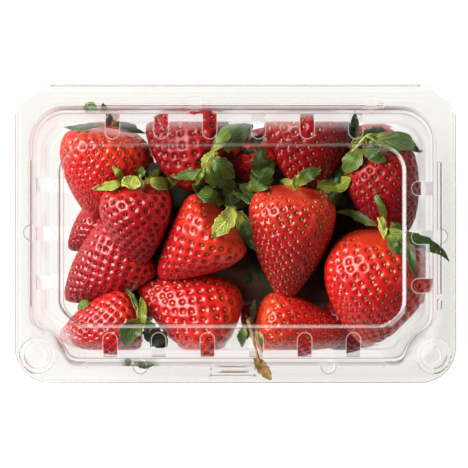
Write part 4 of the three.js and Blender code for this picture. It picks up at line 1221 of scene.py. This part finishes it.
def make_hinge_skin(material):
    """The thin fold of film that joins the two flanges along the back edge."""
    turn = np.linspace(-math.pi / 2, math.pi / 2, 9)
    low, high = TRAY_TOP - 0.35, LID_TOP - 0.1
    middle, half = (low + high) / 2, (high - low) / 2
    fold = [(HINGE_Y - 0.3 + 0.5 * math.cos(a), middle + half * math.sin(a)) for a in turn]
    fold = [(HINGE_Y - 0.7, low)] + fold + [(HINGE_Y - 0.7, high)]
    x = np.linspace(-HINGE_HALF, HINGE_HALF, 61)
    sheet = np.array([[(px, py, pz) for px in x] for py, pz in fold])
    points, faces = sheet_solid(sheet)
    skin = add_piece("hinge_skin", points, faces, material, None, {"haze_and_glare": np.full(len(points), 0.2)})
    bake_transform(skin)
    return skin


# ---- Studio ----
FLOOR_FILL_CUT = 0.65  # share of the floor's glow that is kept off the fruit
MIRROR_CUT = 0.25  # how far that goes for mirrored rays too
# PACK_SHADE is painted shade: the floor's glow is dimmed just inside the pack's edge.
PACK_SHADE = 0.905  # glow of the floor under the pack beside the floor round it
FLOOR_HALF, FLOOR_DROP = 12.0, 0.0002
# The strip lamps light the film alone: how far off and how high they stand, then angle round the pack and watts.
STRIP_REACH, STRIP_HEIGHT = 1.1, 1.2
STRIPS = ((-90, 1.2), (-67.5, 2.2), (-45, 3.4), (-22.5, 3.6), (0, 3.6), (22.5, 3.2), (45, 1.8))
CAMERA_DISTANCE, REFERENCE_HEIGHT, CAMERA_X = 4.0, 0.055, -0.00063
FRAME_WIDTH = 468 * 0.0004218  # pixels, and metres for each at the reference height


def make_floor():
    """A pale floor with a soft glow of its own, darker far off, and with painted shade just inside the pack's edge."""
    look = Look("pale_floor")
    bounced = look.math("MAXIMUM", look.math("MULTIPLY", look.ray("Glossy Depth"), MIRROR_CUT),
                        look.ray("Is Diffuse Ray"), use_clamp=True)
    parts = look.add("SeparateXYZ", {"Vector": look.place()}).node.outputs
    fourth = look.math("ADD", *(look.math("POWER", parts[k], 4.0) for k in "XY"))
    glow = look.ramp(look.math("POWER", fourth, 0.25), 0.125, 0.4, 0.95, 0.62, interpolation_type="SMOOTHSTEP")
    outside = look.math("MAXIMUM", *(look.math("ADD", look.math("ABSOLUTE", parts[k]), -half)
                                     for k, half in (("X", 0.093), ("Y", 0.0625))))
    # Painted shade: the glow dips to PACK_SHADE just inside the pack's edge.
    under = look.math("MAXIMUM", look.ramp(outside, -0.002, 0.001, PACK_SHADE, 1.0),
                      look.ramp(outside, -0.03, -0.016, 1.0, PACK_SHADE))
    share = look.math("MULTIPLY_ADD", bounced, -FLOOR_FILL_CUT, 1.0)
    strength = look.math("MULTIPLY", look.math("MULTIPLY", glow, share), under)
    mesh = bpy.data.meshes.new("floor")
    corners = [(x * FLOOR_HALF, y * FLOOR_HALF, -FLOOR_DROP) for x, y in ((-1, -1), (1, -1), (1, 1), (-1, 1))]
    mesh.from_pydata(corners, [], [(0, 1, 2, 3)])
    mesh.materials.append(look.finish({
        "Base Color": look.mix(bounced, (0.165, 0.166, 0.157), (0.10, 0.10, 0.10)), "Roughness": 0.9,
        "Specular IOR Level": 0.0, "Emission Color": (1, 1, 1), "Emission Strength": strength}))
    floor = bpy.data.objects.new("floor", mesh)
    bpy.context.scene.collection.objects.link(floor)


def area_light(name, place, size, watts):
    """A rectangular lamp that faces the pack."""
    light = bpy.data.lights.new(name, "AREA")
    light.shape, light.energy = "RECTANGLE", watts
    light.size, light.size_y = size
    lamp = bpy.data.objects.new(name, light)
    lamp.location = place
    lamp.rotation_euler = (Vector((0, 0, 0.05)) - Vector(place)).to_track_quat("-Z", "Y").to_euler()
    bpy.context.scene.collection.objects.link(lamp)
    return lamp


def link_lamp(lamp, pieces, state):
    """Lets a lamp light only the given pieces (INCLUDE), or all but them (EXCLUDE)."""
    linked = bpy.data.collections.new(f"{lamp.name}_pieces")
    for piece in pieces:
        linked.objects.link(piece)
    lamp.light_linking.receiver_collection = linked
    for item in linked.collection_objects:
        item.light_linking.link_state = state


def make_studio():
    make_floor()
    bpy.context.scene.world = bpy.data.worlds.new("studio")
    look = Look("studio", bpy.context.scene.world)
    height = look.add("SeparateXYZ", {"Vector": look.place("Generated")}, "Z")
    low = look.ramp(height, 0.2, 0.65, 1.0, 0.08, interpolation_type="SMOOTHSTEP")
    look.finish({"Color": low, "Strength": 0.12}, "Background")
    key = area_light("key", (-1.05, 0.42, 0.95), (1.25, 1.1), 62.0)
    fill = area_light("fill", (1.1, -0.35, 0.8), (1.2, 1.0), 9.0)
    fill.visible_glossy = False
    strips = []
    for k, (turn, watts) in enumerate(STRIPS):
        away = math.radians(turn)
        place = (STRIP_REACH * math.cos(away), STRIP_REACH * math.sin(away), STRIP_HEIGHT)
        strips.append(area_light(f"strip_{k}", place, (0.5, 0.26), watts))
    return (key, fill), strips


def make_camera():
    camera = bpy.data.cameras.new("camera")
    camera.sensor_width, camera.clip_end = 36.0, 100
    camera.lens = camera.sensor_width * CAMERA_DISTANCE / FRAME_WIDTH
    body = bpy.data.objects.new("camera", camera)
    body.location = (CAMERA_X, 0.0, REFERENCE_HEIGHT + CAMERA_DISTANCE)
    bpy.context.scene.collection.objects.link(body)
    bpy.context.scene.camera = body


# ---- The whole ----
make_camera()
soft_lights, strip_lights = make_studio()
fruit = make_berries() + make_leaves(leaf_material()) + [make_core()]
for piece in fruit:
    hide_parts("berries")
clear_film = film_material("clear_film")
lid_shell, tray_shell = make_film((clear_film, film_material("film_edge", 0.6)))
hinge_skin = make_hinge_skin(clear_film)
for lamp in soft_lights:
    link_lamp(lamp, (lid_shell, tray_shell, hinge_skin), "EXCLUDE")
for strip in strip_lights:
    link_lamp(strip, (lid_shell, tray_shell), "INCLUDE")
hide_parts("lid")
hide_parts("tray")

scene = bpy.context.scene
scene.view_settings.view_transform = "Standard"
scene.cycles.transparent_max_bounces = 24
scene.cycles.transmission_bounces = 16
scene.cycles.max_bounces = 20
